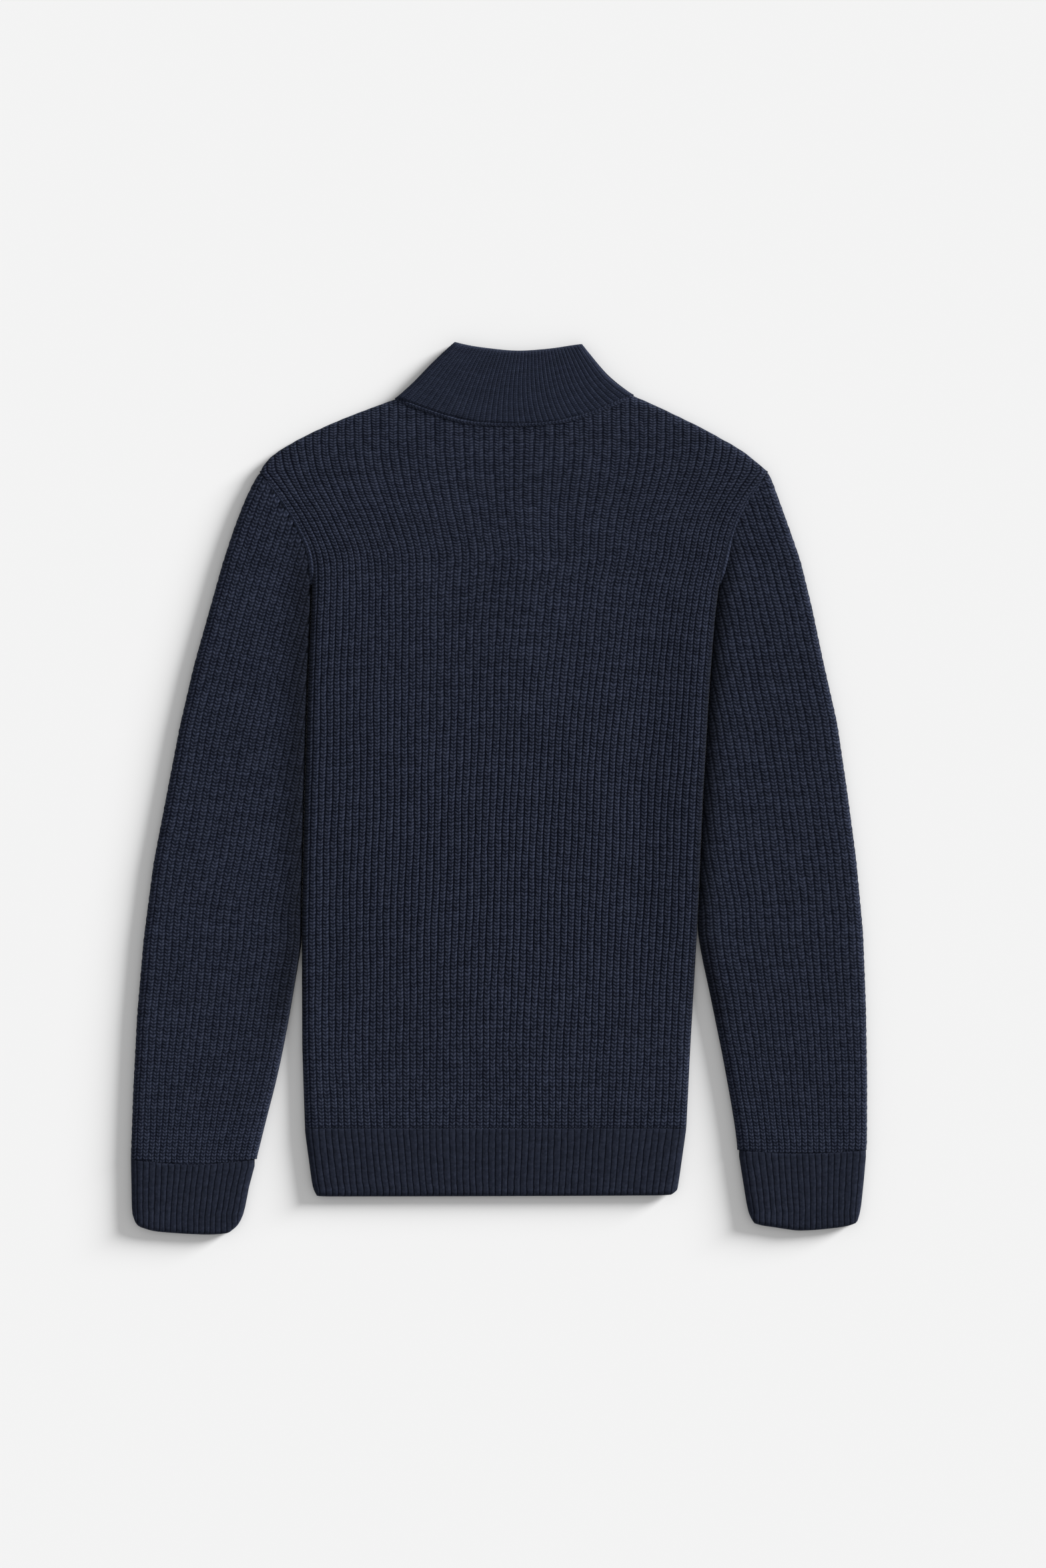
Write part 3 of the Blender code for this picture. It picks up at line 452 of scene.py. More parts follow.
def add_tube_walls(tube, above, below, slot_above, slot_below, slotted, ends):
    """The walls of a flattened tube around its rim, and the slot inside it."""
    is_open = ends & np.roll(ends, -1)
    tube.add_faces(strip(slot_above, above)[is_open])
    tube.add_faces(strip(below, slot_below)[is_open])
    tube.add_faces(strip(below, above)[~is_open])
    ring_above = slot_above[slotted]
    ring_below = slot_below[slotted]
    tube.add_faces(strip(ring_above, ring_below)[~is_open[slotted]])
    jamb = np.stack([above, below, slot_below, slot_above], axis=1)
    opened = np.roll(is_open, 1)
    tube.add_faces(jamb[is_open & ~opened], flat=True)
    tube.add_faces(jamb[opened & ~is_open][:, [1, 0, 3, 2]], flat=True)
    tube.add_faces([ring_above[::-1]], flat=True)
    tube.add_faces([ring_below], flat=True)


# ---- heights over the floor
OPEN_EDGE_DROP = 3.3
SEAM_DROP = 0.25
BAND_EDGE_DROP = 2.9
BODY_SIDE_DROP = 1.8
UNDER_EDGE_RISE = 2.2
UNDER_SEAM_RISE = 0.5
SIDE_ROLL = 9.0
BODY_ROLL = 12.0
SHOULDER_ROLL = 8.0
SLEEVE_ROLL = 11.0
EDGE_ROLL = 4.0
SEAM_ROLL = 2.5
COLLAR_ROLL = 6.0
UNDER_ROLL = 7.0
EDGE_CALM = 0.6  # of a surface's relief is lost at an edge
SEAM_REACH = 0.12  # that a seam's edge is past its solid, to close the seam
BODY_RIB_DEPTH = 0.85
BAND_RIB_DEPTH = 0.28
COLLAR_RIB_DEPTH = 0.24
ARMHOLE_TURN_TOP = HEM_Y + 600.0
ARMHOLE_TURN_END = HEM_Y + 530.0
ARMPIT = HEM_Y + 463.0
SLEEVE_CLEAR = (HEM_Y + 130.0, HEM_Y + 200.0)
# Heights and reaches of the painted shade in the fold between the body and each sleeve, which
# darkens the wool's colour there.
FOLD_SHADE_LOW = (HEM_Y + 110.0, HEM_Y + 190.0)
FOLD_SHADE_TOP = (HEM_Y + 520.0, HEM_Y + 600.0)
BODY_FOLD_SHADE_REACH = 4.0
SLEEVE_FOLD_SHADE_REACH = {-1: 18.0, 1: 12.0}
# Of each wave: its size, its lengths along and across the sweater, and its start.
SWAYS = ((0.40, 160.0, 170.0, 0.0), (0.20, 67.0, -47.0, 0.3), (0.16, 120.0, 13.7, 0.0),
         (0.10, 29.0, 9.1, 0.7))
SWAY_ROOM = 15.0


def side_drop(y, beside_sleeve):
    """How far a side falls: little over the shoulder, where a sleeve is sewn to the body,
    more once the armhole has turned under, and fully where the sleeve lies clear."""
    share = (ARMHOLE_TURN_TOP - y) / (ARMHOLE_TURN_TOP - ARMHOLE_TURN_END)
    drop = blend(SEAM_DROP, beside_sleeve, np.clip(share, 0.0, 1.0))
    return blend(OPEN_EDGE_DROP, drop, smooth(*SLEEVE_CLEAR, y))


def painted_fold_shade(distance, y, reach):
    """How much painted shade a place takes in the fold between the body and a sleeve, from 0
    to 1: the fold's shade is painted into the wool's colour.
    """
    along = smooth(*FOLD_SHADE_LOW, y) * (1.0 - smooth(*FOLD_SHADE_TOP, y))
    return along * np.exp(-(distance / reach) ** 2)


def fallen(edges):
    """The fall of a surface beside its edges, each a (drop, distance, reach), and the
    share of its relief that is left there."""
    shares = [fall(distance, reach) for _, distance, reach in edges]
    drops = [edge[0] * share for edge, share in zip(edges, shares)]
    return reduce(np.maximum, drops), 1.0 - EDGE_CALM * reduce(np.maximum, shares)


def top_surface(knit, mean, rib_depth, edges):
    drop, left_over = fallen(edges)
    return mean - drop + left_over * knit.relief(rib_depth)


def under_surface(knit, from_side, from_seam, from_edge=np.inf):
    """An underside, whose ribs' crests rest on the floor.  It rises to its sides and its
    open edge, and a little to its seam, which lie this far away."""
    rise, left_over = fallen([(UNDER_EDGE_RISE, from_side, UNDER_ROLL),
                              (UNDER_SEAM_RISE, from_seam, SEAM_ROLL),
                              (UNDER_EDGE_RISE, from_edge, EDGE_ROLL)])
    crest = max(knit.profile.gathered) * BAND_RIB_DEPTH
    return rise + crest - left_over * knit.relief(BAND_RIB_DEPTH) - (1.0 - left_over) * crest


def waver(x, y, room):
    """A slight sideways sway of the ribs, which dies out at the piece's sides."""
    sway = sum(size * np.sin(2.0 * pi * (y / along + x / across + start))
               for size, along, across, start in SWAYS)
    return sway * smooth(0.0, SWAY_ROOM, room)


Crease = namedtuple("Crease", "x height end_x end_height width depth")
CREASE_ENDS = 0.3  # of its length, over which a crease rises at each end


def creased(x, y, creases):
    """The depth of soft troughs, and of ridges where a depth is negative."""
    total = np.zeros_like(x)
    for crease in creases:
        start = np.array([crease.x, HEM_Y + crease.height])
        run = np.array([crease.end_x, HEM_Y + crease.end_height]) - start
        length = np.linalg.norm(run)
        along = ((x - start[0]) * run[0] + (y - start[1]) * run[1]) / length ** 2
        aside = ((x - start[0]) * -run[1] + (y - start[1]) * run[0]) / length
        ends = smooth(0.0, CREASE_ENDS, along) * smooth(0.0, CREASE_ENDS, 1.0 - along)
        total += crease.depth * ends * np.exp(-(aside / crease.width) ** 2)
    return total


# ---- back
YOKE = (HEM_Y + 300.0, HEM_Y + 580.0)
CROWDED = (HEM_Y + 330.0, HEM_Y + 600.0)
YOKE_OPENNESS = 0.5  # of its ribs in the middle
YOKE_SIDE_OPENNESS = 0.15
HEM_OPENNESS = 0.3
HEM_CALM = (HEM_Y + 80.0, HEM_Y + 260.0)
TIP_EASE = 30.0
TIP_SIDE = 0.05  # of the back's width
YOKE_CROWDING = 0.022  # by which its ribs crowd towards the armholes
BOW = 14.0
BOW_RISE = (HEM_Y + 62.0, HEM_Y + 210.0)
BOW_FALL = (HEM_Y + 540.0, HEM_Y + 640.0)
BOW_EASE = 0.6
BOW_ROUND = 0.12
CLOSING = 0.0008  # by the square of the height over its start
CLOSING_START = HEM_Y + 545.0
CLOSING_ROOM = 24.0

BACK_CREASES = (
    Crease(176.0, 600.0, 170.0, 170.0, 24.0, -1.3),
    Crease(128.0, 560.0, 122.0, 150.0, 18.0, 0.6),
    Crease(-150.0, 90.0, -140.0, 330.0, 12.0, 0.5),
    Crease(20.0, 660.0, 12.0, 380.0, 26.0, -0.7),
    Crease(-80.0, 400.0, 90.0, 372.0, 16.0, 0.6),
    Crease(-150.0, 130.0, 40.0, 70.0, 22.0, 0.6),
    Crease(150.0, 250.0, 60.0, 290.0, 14.0, 0.45),
    Crease(155.0, 330.0, 70.0, 380.0, 16.0, 0.4),
    Crease(-140.0, 420.0, -60.0, 470.0, 20.0, 0.35),
)


def bowed(rows, across):
    """How far the back's courses arch over their middle, and how they close up where the
    shoulders curve away."""
    arch = BOW * smooth(*BOW_RISE, rows) * (1.0 - BOW_EASE * smooth(*BOW_FALL, rows))
    from_middle = np.abs(2.0 * across - 1.0)
    hump = 1.0 - np.sqrt(from_middle ** 2 + BOW_ROUND ** 2) + BOW_ROUND
    closing = CLOSING * np.maximum(rows - CLOSING_START, 0.0) ** 2
    return arch * hump - closing


def level_of(y, tip_y, from_side):
    """The level whose width a place on the back takes: its own up to the shoulder's tip,
    which it nears slowly except close to the sides."""
    share = np.clip((y - tip_y + TIP_EASE) / (2.0 * TIP_EASE), 0.0, 1.0)
    eased = np.where(share > 0.0, tip_y - TIP_EASE + TIP_EASE * (2.0 * share - share ** 2), y)
    return blend(eased, np.minimum(y, tip_y), np.exp(-(from_side / TIP_SIDE) ** 2))


def back_places(plan, across, y):
    """Where the back's places lie across it, and its sides at each one's level."""
    from_side = np.minimum(across, 1.0 - across)
    left, right = (plan.side(side, level_of(y, TIPS[side][1], from_side)) for side in SIDES)
    crowding = YOKE_CROWDING * np.sin(2.0 * pi * across) * smooth(*CROWDED, y)
    return blend(left, right, across - crowding), left, right


def back_tops(plan, across):
    """The shoulder's heights at the upper ends of the back's ribs."""
    tops = np.full(across.shape, plan.high[1])
    for _ in range(4):
        tops = plan.top(back_places(plan, across, tops)[0])
    tops[0] = TIPS[-1][1]
    tops[-1] = TIPS[1][1]
    return tops


def back_piece(finish):
    plan = OUTLINES["back"]
    low = plan.low[1] - SEAM_REACH
    across = columns_for(BODY_RIBS)
    tops = back_tops(plan, across)
    rows = rows_between(low, plan.high[1] + CLOSING_ROOM, ROW)
    bow = bowed(rows[None, :], across)
    y = knit_grid(rows, low, tops, ROW, bow)
    x, left, right = back_places(plan, across, y)
    room = np.minimum(x - left, right - x)
    x = x + waver(x, y, room)
    inside = 1.0 - (2.0 * across - 1.0) ** 2
    open_rib = blend(YOKE_SIDE_OPENNESS, YOKE_OPENNESS, inside) * smooth(*YOKE, y)
    open_rib = open_rib + HEM_OPENNESS * (1.0 - smooth(*HEM_CALM, y))
    knit = Knit(x, y, across * BODY_RIBS, course=(y - bow - HEM_SEAM) / COURSE,
                open_rib=open_rib, painted_shade=painted_fold_shade(room, y, BODY_FOLD_SHADE_REACH))
    collar = OUTLINES["collar_back"]
    under_collar = (x > collar.low[0]) & (x < collar.high[0])
    top_drop = np.where(under_collar, SEAM_DROP, OPEN_EDGE_DROP)
    top_roll = np.where(under_collar, SEAM_ROLL, SHOULDER_ROLL)
    z = top_surface(knit, BACK_TOP, BODY_RIB_DEPTH, [
        (side_drop(y, BODY_SIDE_DROP), room, BODY_ROLL),
        (top_drop, tops - y, top_roll),
        (SEAM_DROP, y - low, SEAM_ROLL),
    ])
    z -= creased(x, y, BACK_CREASES)
    knit.x, knit.y = round_tips(x, y)
    laid_panel("back", knit, z, BACK_UNDER, finish)


# ---- hem's back
HEM_CORNER = 6.0  # height of the rounding at a band's lower corners
CUFF_CORNER = 18.0


def band_grid(plan, ribs, corner, highs, top_y=np.inf):
    """A firm band's knitting, between a lower edge with rounded corners and highs, with
    its upper surface, its room from the sides and from the lower edge, and its sides,
    which run straight up in the corners and over top_y."""
    across = columns_for(ribs, BAND_PROFILE)
    corner_y = plan.low[1] + corner
    lows = plan.bottom(blend(plan.left(corner_y), plan.right(corner_y), across))
    lows[[0, -1]] = corner_y
    y = knit_grid(rows_between(plan.low[1], plan.high[1], ROW), lows, highs, ROW)
    level = np.clip(y, corner_y, top_y)
    left = plan.left(level)
    right = plan.right(level)
    x = blend(left, right, across)
    room = np.minimum(x - left, right - x)
    knit = Knit(x + waver(x, y, room), y, across * ribs, profile=BAND_PROFILE)
    z = top_surface(knit, BAND_TOP, BAND_RIB_DEPTH, [
        (BAND_EDGE_DROP, room, SIDE_ROLL),
        (BAND_EDGE_DROP, y - lows, EDGE_ROLL),
        (SEAM_DROP, highs - y, SEAM_ROLL),
    ])
    return knit, z, room, y - lows, left, right


def hem_back_piece(finish):
    plan = OUTLINES["hem_back"]
    knit, z, *_ = band_grid(plan, BODY_RIBS, HEM_CORNER, plan.high[1] + SEAM_REACH)
    laid_panel("hem_back", knit, z, BACK_UNDER, finish)


# ---- fronts
FACING_SHARE = 0.082  # of a front's width is thinned for the zip's tape
NECK_GAP = 0.5  # between a front and the collar


def lay_front(node, knit, room, facing, finish):
    """Makes one piece of the front, which lies on the floor with its outside down.  room
    is its places' distances from its side, from its seam and from its open edge."""
    z = -under_surface(knit, *room)
    laid_panel(node, knit, z, -FRONT_TOP, finish, facing)


def front_piece(side, finish):
    node = "front_" + SIDES[side]
    plan = OUTLINES[node]
    low = plan.low[1]
    neck_y = OUTLINES["collar_" + node].low[1] - NECK_GAP
    tip = plan.tip(side)
    across = columns_for(FRONT_RIBS, side=side)
    tops = plan.top(blend(zip_edge(side, neck_y), tip[0], across))
    tops[across == 0.0] = neck_y
    tops[across == 1.0] = tip[1]
    y = knit_grid(rows_between(low, plan.high[1], UNDER_ROW), low, tops, UNDER_ROW)
    up = (y - low) / (tops - low)
    outer = plan.side(side, blend(low, tip[1], up))
    inner = zip_edge(side, blend(low, neck_y, up))
    x = blend(inner, outer, across)
    x = x + waver(x, y, np.minimum(np.abs(x - outer), np.abs(x - inner)))
    room = (np.abs(x - outer), y - low, tops - y)
    lay_front(node, Knit(x, y, across * FRONT_RIBS), room, across < FACING_SHARE, finish)


def hem_front_piece(side, finish):
    node = "hem_front_" + SIDES[side]
    plan = OUTLINES[node]
    corner_y = plan.low[1] + HEM_CORNER
    across = columns_for(FRONT_RIBS, side=side)
    lows = plan.bottom(blend(zip_edge(side, corner_y), plan.side(side, corner_y), across))
    lows[across == 1.0] = corner_y
    rows = rows_between(plan.low[1], plan.high[1], UNDER_ROW)
    y = knit_grid(rows, lows, plan.high[1], UNDER_ROW)
    outer = plan.side(side, np.maximum(y, corner_y))
    x = blend(zip_edge(side, y), outer, across)
    room = (np.abs(x - outer), plan.high[1] - y, y - lows)
    lay_front(node, Knit(x, y, across * FRONT_RIBS), room, across < FACING_SHARE, finish)


# ---- collar
TAPE_TO_COLLAR_TOP = 3.0
COLLAR_FRONT_WIDTH = 60.0  # rather less than it is, to roll its outer edge
COLLAR_FACING_SHARE = 0.26


def patch(across, up, left, right, bottom, top):
    """A surface between four edges, each an array of places that runs up or across."""
    a = across[:, None, None]
    u = up[None, :, None]
    sides = blend(left[None, :], right[None, :], a)
    ends = blend(bottom[:, None], top[:, None], u)
    corners = blend(blend(bottom[0], bottom[-1], a), blend(top[0], top[-1], a), u)
    return sides + ends - corners


def edge(curve, found, given, start, end, shares):
    """Places on one edge of the collar, from corner to corner.  The curve gives the
    coordinate "found" where the coordinate "given" is known."""
    places = blend(np.array(start), np.array(end), shares[:, None])
    places[1:-1, found] = curve(places[1:-1, given])
    return places


def collar_grid(plan, corners, ribs, step):
    """The collar's knitting, whose ribs fan out and whose courses bow with its edges, its
    places' shares across, and how far up from its seam and down from its top they are."""
    across = columns_for(ribs, BAND_PROFILE)
    bottom_left, bottom_right, top_left, top_right = corners
    tall = np.linalg.norm(np.array(top_left) - bottom_left)
    count = int(round(max(tall, plan.high[1] - plan.low[1]) / step))
    up = np.linspace(0.0, 1.0, count + 1)
    places = patch(across[:, 0], up,
                   edge(plan.left, 0, 1, bottom_left, top_left, up),
                   edge(plan.right, 0, 1, bottom_right, top_right, up),
                   edge(plan.bottom, 1, 0, bottom_left, bottom_right, across[:, 0]),
                   edge(plan.top, 1, 0, top_left, top_right, across[:, 0]))
    length = count * step
    knit = Knit(places[..., 0], places[..., 1], across * ribs,
                course=up * (length / COURSE), profile=BAND_PROFILE)
    return knit, across, up[None, :] * length, (1.0 - up[None, :]) * length


def collar_piece(finish):
    plan = OUTLINES["collar_back"]
    middle = (plan.low[0] + plan.high[0]) / 2.0
    corners = (plan.tip(-1), plan.tip(1), plan.furthest((-0.2, 1.0), within=middle),
               plan.furthest((0.2, 1.0), beyond=middle))
    knit, _, from_seam, from_top = collar_grid(plan, corners, COLLAR_RIBS, ROW)
    z = top_surface(knit, COLLAR_TOP, COLLAR_RIB_DEPTH, [
        (OPEN_EDGE_DROP, knit.x - plan.left(knit.y), COLLAR_ROLL),
        (OPEN_EDGE_DROP, plan.right(knit.y) - knit.x, COLLAR_ROLL),
        (OPEN_EDGE_DROP, from_top, EDGE_ROLL),
        (SEAM_DROP, from_seam, SEAM_ROLL),
    ])
    laid_panel("collar_back", knit, z, COLLAR_UNDER, finish)


def collar_front_piece(side, finish):
    node = "collar_front_" + SIDES[side]
    plan = OUTLINES[node]
    zip_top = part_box("zip_tape_left")[1][1] / MM + TAPE_TO_COLLAR_TOP
    at_zip = [np.array([zip_edge(side, at), at]) for at in (plan.low[1], zip_top)]
    outside = [plan.tip(side), plan.furthest((0.0, 1.0))]
    left, right = (outside, at_zip) if side < 0 else (at_zip, outside)
    corners = (left[0], right[0], left[1], right[1])
    knit, across, from_seam, from_top = collar_grid(plan, corners, COLLAR_FRONT_RIBS,
                                                    UNDER_ROW)
    from_zip = 1.0 - across if side < 0 else across
    room = ((1.0 - from_zip) * COLLAR_FRONT_WIDTH, from_seam, from_top)
    lay_front(node, knit, room, from_zip < COLLAR_FACING_SHARE, finish)


# ---- sleeves and cuffs
RIB_FIELD = {-1: 139.0, 1: 147.0}  # width of a sleeve's ribs, part of it under the body
FIELD_LOCK = (HEM_Y + 230.0, HEM_Y + 300.0)
SLOT_END = HEM_Y + 616.0
SEAM_SAG = 6.0  # more than a cuff's seam dips in its middle
SLEEVE_OPENNESS = 0.45
TILT = {-1: (0.03, 0.12, 0.30), 1: (0.0, 0.02, 0.02)}
TILT_HEIGHTS = (HEM_Y + 120.0, HEM_Y + 400.0, HEM_Y + 600.0)
TILT_START = (HEM_Y + 20.0, HEM_Y + 90.0)
UNEVEN_EDGE = ((0.15, 6.1), (0.10, 9.7))  # sizes and lengths of its waves
SIDE_SNAP = 0.35  # from the inner edge, within which a place goes to it
NEAR = 0.3  # to an end, where a tube's rim lies open


def outer_of(side, plan, y):
    """A sleeve's outer edge, which its stitches make slightly uneven."""
    uneven = sum(size * np.sin(2.0 * pi * y / length) for size, length in UNEVEN_EDGE)
    return plan.side(side, y) + side * uneven


def inner_of(side, plan, y):
    """A sleeve's inner edge, which reaches the body's side where it is sewn to it."""
    return plan.side(-side, y) - side * SEAM_REACH * (y > ARMPIT)


def tilted(side, rows, taken):
    """How far a sleeve's courses lie below their rows, across its slanting tube."""
    tilt = np.interp(rows, TILT_HEIGHTS, TILT[side]) * smooth(*TILT_START, rows)
    return tilt * taken


def rib_places(side, plan, across, y):
    """How far in from a sleeve's outer edge its ribs lie, and the sleeve's width, its
    outer edge and the width that its ribs share."""
    level = np.maximum(y, plan.low[1] + SEAM_SAG)
    outer = outer_of(side, plan, level)
    width = np.abs(outer - inner_of(side, plan, level))
    field = blend(width, RIB_FIELD[side], smooth(*FIELD_LOCK, y))
    return np.minimum(across * field, width), width, outer, field


def sleeve_grid(side, plan):
    """A sleeve's knitting, with its places' room from the outer edge and from the cuff's
    seam, and the sleeve's width there."""
    across = columns_for(SLEEVE_RIBS, side=-side)
    seam_y = plan.low[1] + SEAM_SAG
    seam_x = blend(outer_of(side, plan, seam_y), inner_of(side, plan, seam_y), across)
    lows = plan.bottom(seam_x) - SEAM_REACH
    lows[[0, -1]] = lows[[1, -2]]
    rows = rows_between(plan.low[1], plan.high[1], ROW)
    level = np.clip(rows[None, :] + 0.0 * across, lows, plan.high[1])
    bow = -tilted(side, level, rib_places(side, plan, across, level)[0])
    y = knit_grid(rows, lows, plan.high[1], ROW, bow)
    taken, width, *_ = rib_places(side, plan, across, y)
    past = taken > width - SIDE_SNAP
    y = np.where(past, level, y)
    taken, width, outer, field = rib_places(side, plan, across, y)
    taken = np.where(past, width, taken)
    x = outer - side * taken
    knit = Knit(x + waver(x, y, np.minimum(taken, width - taken)), y,
                taken / field * SLEEVE_RIBS,
                course=(y - np.where(past, 0.0, bow) - HEM_SEAM) / COURSE,
                open_rib=SLEEVE_OPENNESS,
                painted_shade=painted_fold_shade(width - taken, y, SLEEVE_FOLD_SHADE_REACH[side]))
    return knit, taken, y - lows, width


def sleeve_piece(side, finish):
    node = "sleeve_" + SIDES[side]
    plan = OUTLINES[node]
    knit, taken, low_room, width = sleeve_grid(side, plan)
    top_z = top_surface(knit, BACK_TOP, BODY_RIB_DEPTH, [
        (OPEN_EDGE_DROP, taken, SIDE_ROLL),
        (side_drop(knit.y, OPEN_EDGE_DROP), width - taken, SLEEVE_ROLL),
        (SEAM_DROP, low_room, SEAM_ROLL),
    ])
    under_z = under_surface(knit, np.minimum(taken, width - taken), low_room)
    knit.x, knit.y = x, y = round_tips(knit.x, knit.y)
    inner = inner_of(side, plan, y)
    outer = outer_of(side, plan, y)
    slot_x = blend(inner + side * np.where(y < ARMPIT, TUBE_WALL, 0.0),
                   outer - side * TUBE_WALL, (x - inner) / (outer - inner))
    beside_body = (y > ARMPIT) & (np.abs(x - inner) < NEAR)
    laid_tube(node, knit, top_z, under_z, finish, slot_x,
              (y < plan.bottom(x) + NEAR) | beside_body, float(width.max()) * MM, SLOT_END)


def cuff_piece(side, finish):
    node = "cuff_" + SIDES[side]
    plan = OUTLINES[node]
    seam_y = plan.high[1] - SEAM_SAG
    high_x = blend(plan.left(seam_y), plan.right(seam_y), columns_for(CUFF_RIBS, BAND_PROFILE))
    highs = plan.top(high_x) + SEAM_REACH
    highs[[0, -1]] = highs[[1, -2]]
    knit, top_z, room, low_room, left, right = band_grid(plan, CUFF_RIBS, CUFF_CORNER,
                                                         highs, seam_y)
    x, y = knit.x, knit.y
    under_z = under_surface(knit, room, highs - y, low_room)
    slot_x = blend(left + TUBE_WALL, right - TUBE_WALL, (x - left) / (right - left))
    open_end = (low_room < NEAR) | (y > np.interp(x, high_x[:, 0], highs[:, 0]) - NEAR)
    laid_tube(node, knit, top_z, under_z, finish, slot_x, open_end, plan.size()[0])


# ---- sewn seams
# One chain of stitches: its half width, the heights of its sides and its crest, its slot,
# and the part of a rib that its stitches are drawn from.
Cord = namedtuple("Cord", "half_width low high slot ribs")
NECK_CORD = Cord(2.1, 7.9, 9.6, "band_knit", (0.0, 1.0))
ARMHOLE_CORD = Cord(2.6, 6.4, 8.5, "body_knit", (0.0, 1.0))
FLAT_CORD = Cord(1.4, 5.8, 8.1, "body_knit", (0.62, 0.92))
ARMHOLE_CHAIN_LOW = HEM_Y + 535.0
CHAIN_DROP = 0.5  # from the shoulder's tip to an armhole chain's upper end
CORD_ARC = (-90.0, -60.0, -30.0, 0.0, 30.0, 60.0, 90.0)
CORD_STEP = 1.5
CORD_TAPER = 12.0
CORD_END = 0.15  # of its height is left at a cord's ends
CORD_INSET = 2.0  # from a seam's ends
NECK_PLACES = 200  # that a path is given by
SEAM_PLACES = 120


def along_path(x, y):
    """Even places on a curve, their distances along it, and its level normals."""
    runs = np.hypot(np.diff(x), np.diff(y))
    far = np.concatenate([[0.0], np.cumsum(runs)])
    places = np.linspace(0.0, far[-1], int(far[-1] / CORD_STEP) + 1)
    x = np.interp(places, far, x)
    y = np.interp(places, far, y)
    run = np.stack([np.gradient(x), np.gradient(y)], axis=1)
    run /= np.linalg.norm(run, axis=1)[:, None]
    return x, y, places, np.stack([run[:, 1], -run[:, 0]], axis=1)


def sewn_cord(name, x, y, cord, finish):
    """A low raised seam of one chain of stitches, which lies over two pieces' edges."""
    x, y, places, normal = along_path(x, y)
    ends = np.minimum(places, places[-1] - places)
    size = CORD_END + (1.0 - CORD_END) * smooth(0.0, CORD_TAPER, ends)
    zeros = np.zeros(len(x))
    solid = Solid()
    rings = []
    for angle in CORD_ARC:
        share = sin(radians(angle))
        z = cord.low + (cord.high - cord.low) * cos(radians(angle)) * size
        rib = blend(*cord.ribs, 0.5 + 0.5 * share)
        stitches = np.stack([zeros + rib, places / COURSE, zeros, zeros], axis=1)
        out = cord.half_width * share * (0.5 + 0.5 * size)
        rings.append(solid.add_points(x + normal[:, 0] * out, y + normal[:, 1] * out, z,
                                      stitches))
    for this, following in zip(rings, rings[1:] + rings[:1]):
        solid.add_faces(np.stack([this[:-1], this[1:], following[1:], following[:-1]], axis=1))
    solid.add_faces([[ring[0] for ring in rings], [ring[-1] for ring in rings][::-1]])
    made = solid.make(name, finish)
    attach(made, BODY)


def flat_seam(name, band, knitting, finish):
    """A seam level with the pieces that it joins, along a band's upper edge."""
    band = OUTLINES[band]
    seam_y = band.high[1] - SEAM_SAG
    x = np.linspace(band.left(seam_y) + CORD_INSET, band.right(seam_y) - CORD_INSET,
                    SEAM_PLACES)
    middle = (band.top(x) + OUTLINES[knitting].bottom(x)) / 2.0
    sewn_cord(name, x, middle, FLAT_CORD, finish)


def sew_seams(finish):
    """The chains that join the collar and the sleeves to the back, and the flat seams
    over the bands."""
    collar = OUTLINES["collar_back"]
    x = np.linspace(collar.low[0] + CORD_INSET, collar.high[0] - CORD_INSET, NECK_PLACES)
    sewn_cord("collar_chain", x, collar.bottom(x), NECK_CORD, finish)
    for side, name in SIDES.items():
        y = np.linspace(TIPS[side][1] - CHAIN_DROP, ARMHOLE_CHAIN_LOW, SEAM_PLACES)
        path = round_tips(OUTLINES["back"].side(side, y), y)
        sewn_cord("armhole_chain_" + name, *path, ARMHOLE_CORD, finish)
    flat_seam("hem_seam", "hem_back", "back", finish)
    for name in SIDES.values():
        flat_seam("cuff_seam_" + name, "cuff_" + name, "sleeve_" + name, finish)


# ---- zip
TEETH_PITCH = 2.6  # along one tape; the other's lie halfway between
TOOTH_SIZE = (3.4, 1.5, 1.7)
TOOTH_TAPER = 0.55
TOOTH_CENTRE = 1.35  # from the middle line
TOOTH_ROUND = 0.25
TEETH_Z = 3.1
TEETH_START = 8.5  # from the middle of the box at the hem
TEETH_END = 7.0  # before the middle of the slider
STOP_SIZE = (2.8, 3.2, 2.0)
STOP_CENTRE = 3.0  # from the middle line
STOP_PLACE = 10.2  # past the middle of the slider
LEAN = atan2(ZIP_END.x - ZIP_START.x, ZIP_END.y - ZIP_START.y)
BLOCK_FACES = ((0, 3, 2, 1), (4, 5, 6, 7), (0, 1, 5, 4), (1, 2, 6, 5), (2, 3, 7, 6),
               (3, 0, 4, 7))


def block_points(size, taper):
    """Corners of a block, in millimetres, whose inner end is narrower by taper."""
    wide, long, thick = (length / 2.0 for length in size)
    narrow = long * taper
    return np.array([(x, y * (narrow if x < 0 else long), z)
                     for z in (-thick, thick)
                     for x, y in ((-wide, -1.0), (wide, -1.0), (wide, 1.0), (-wide, 1.0))])


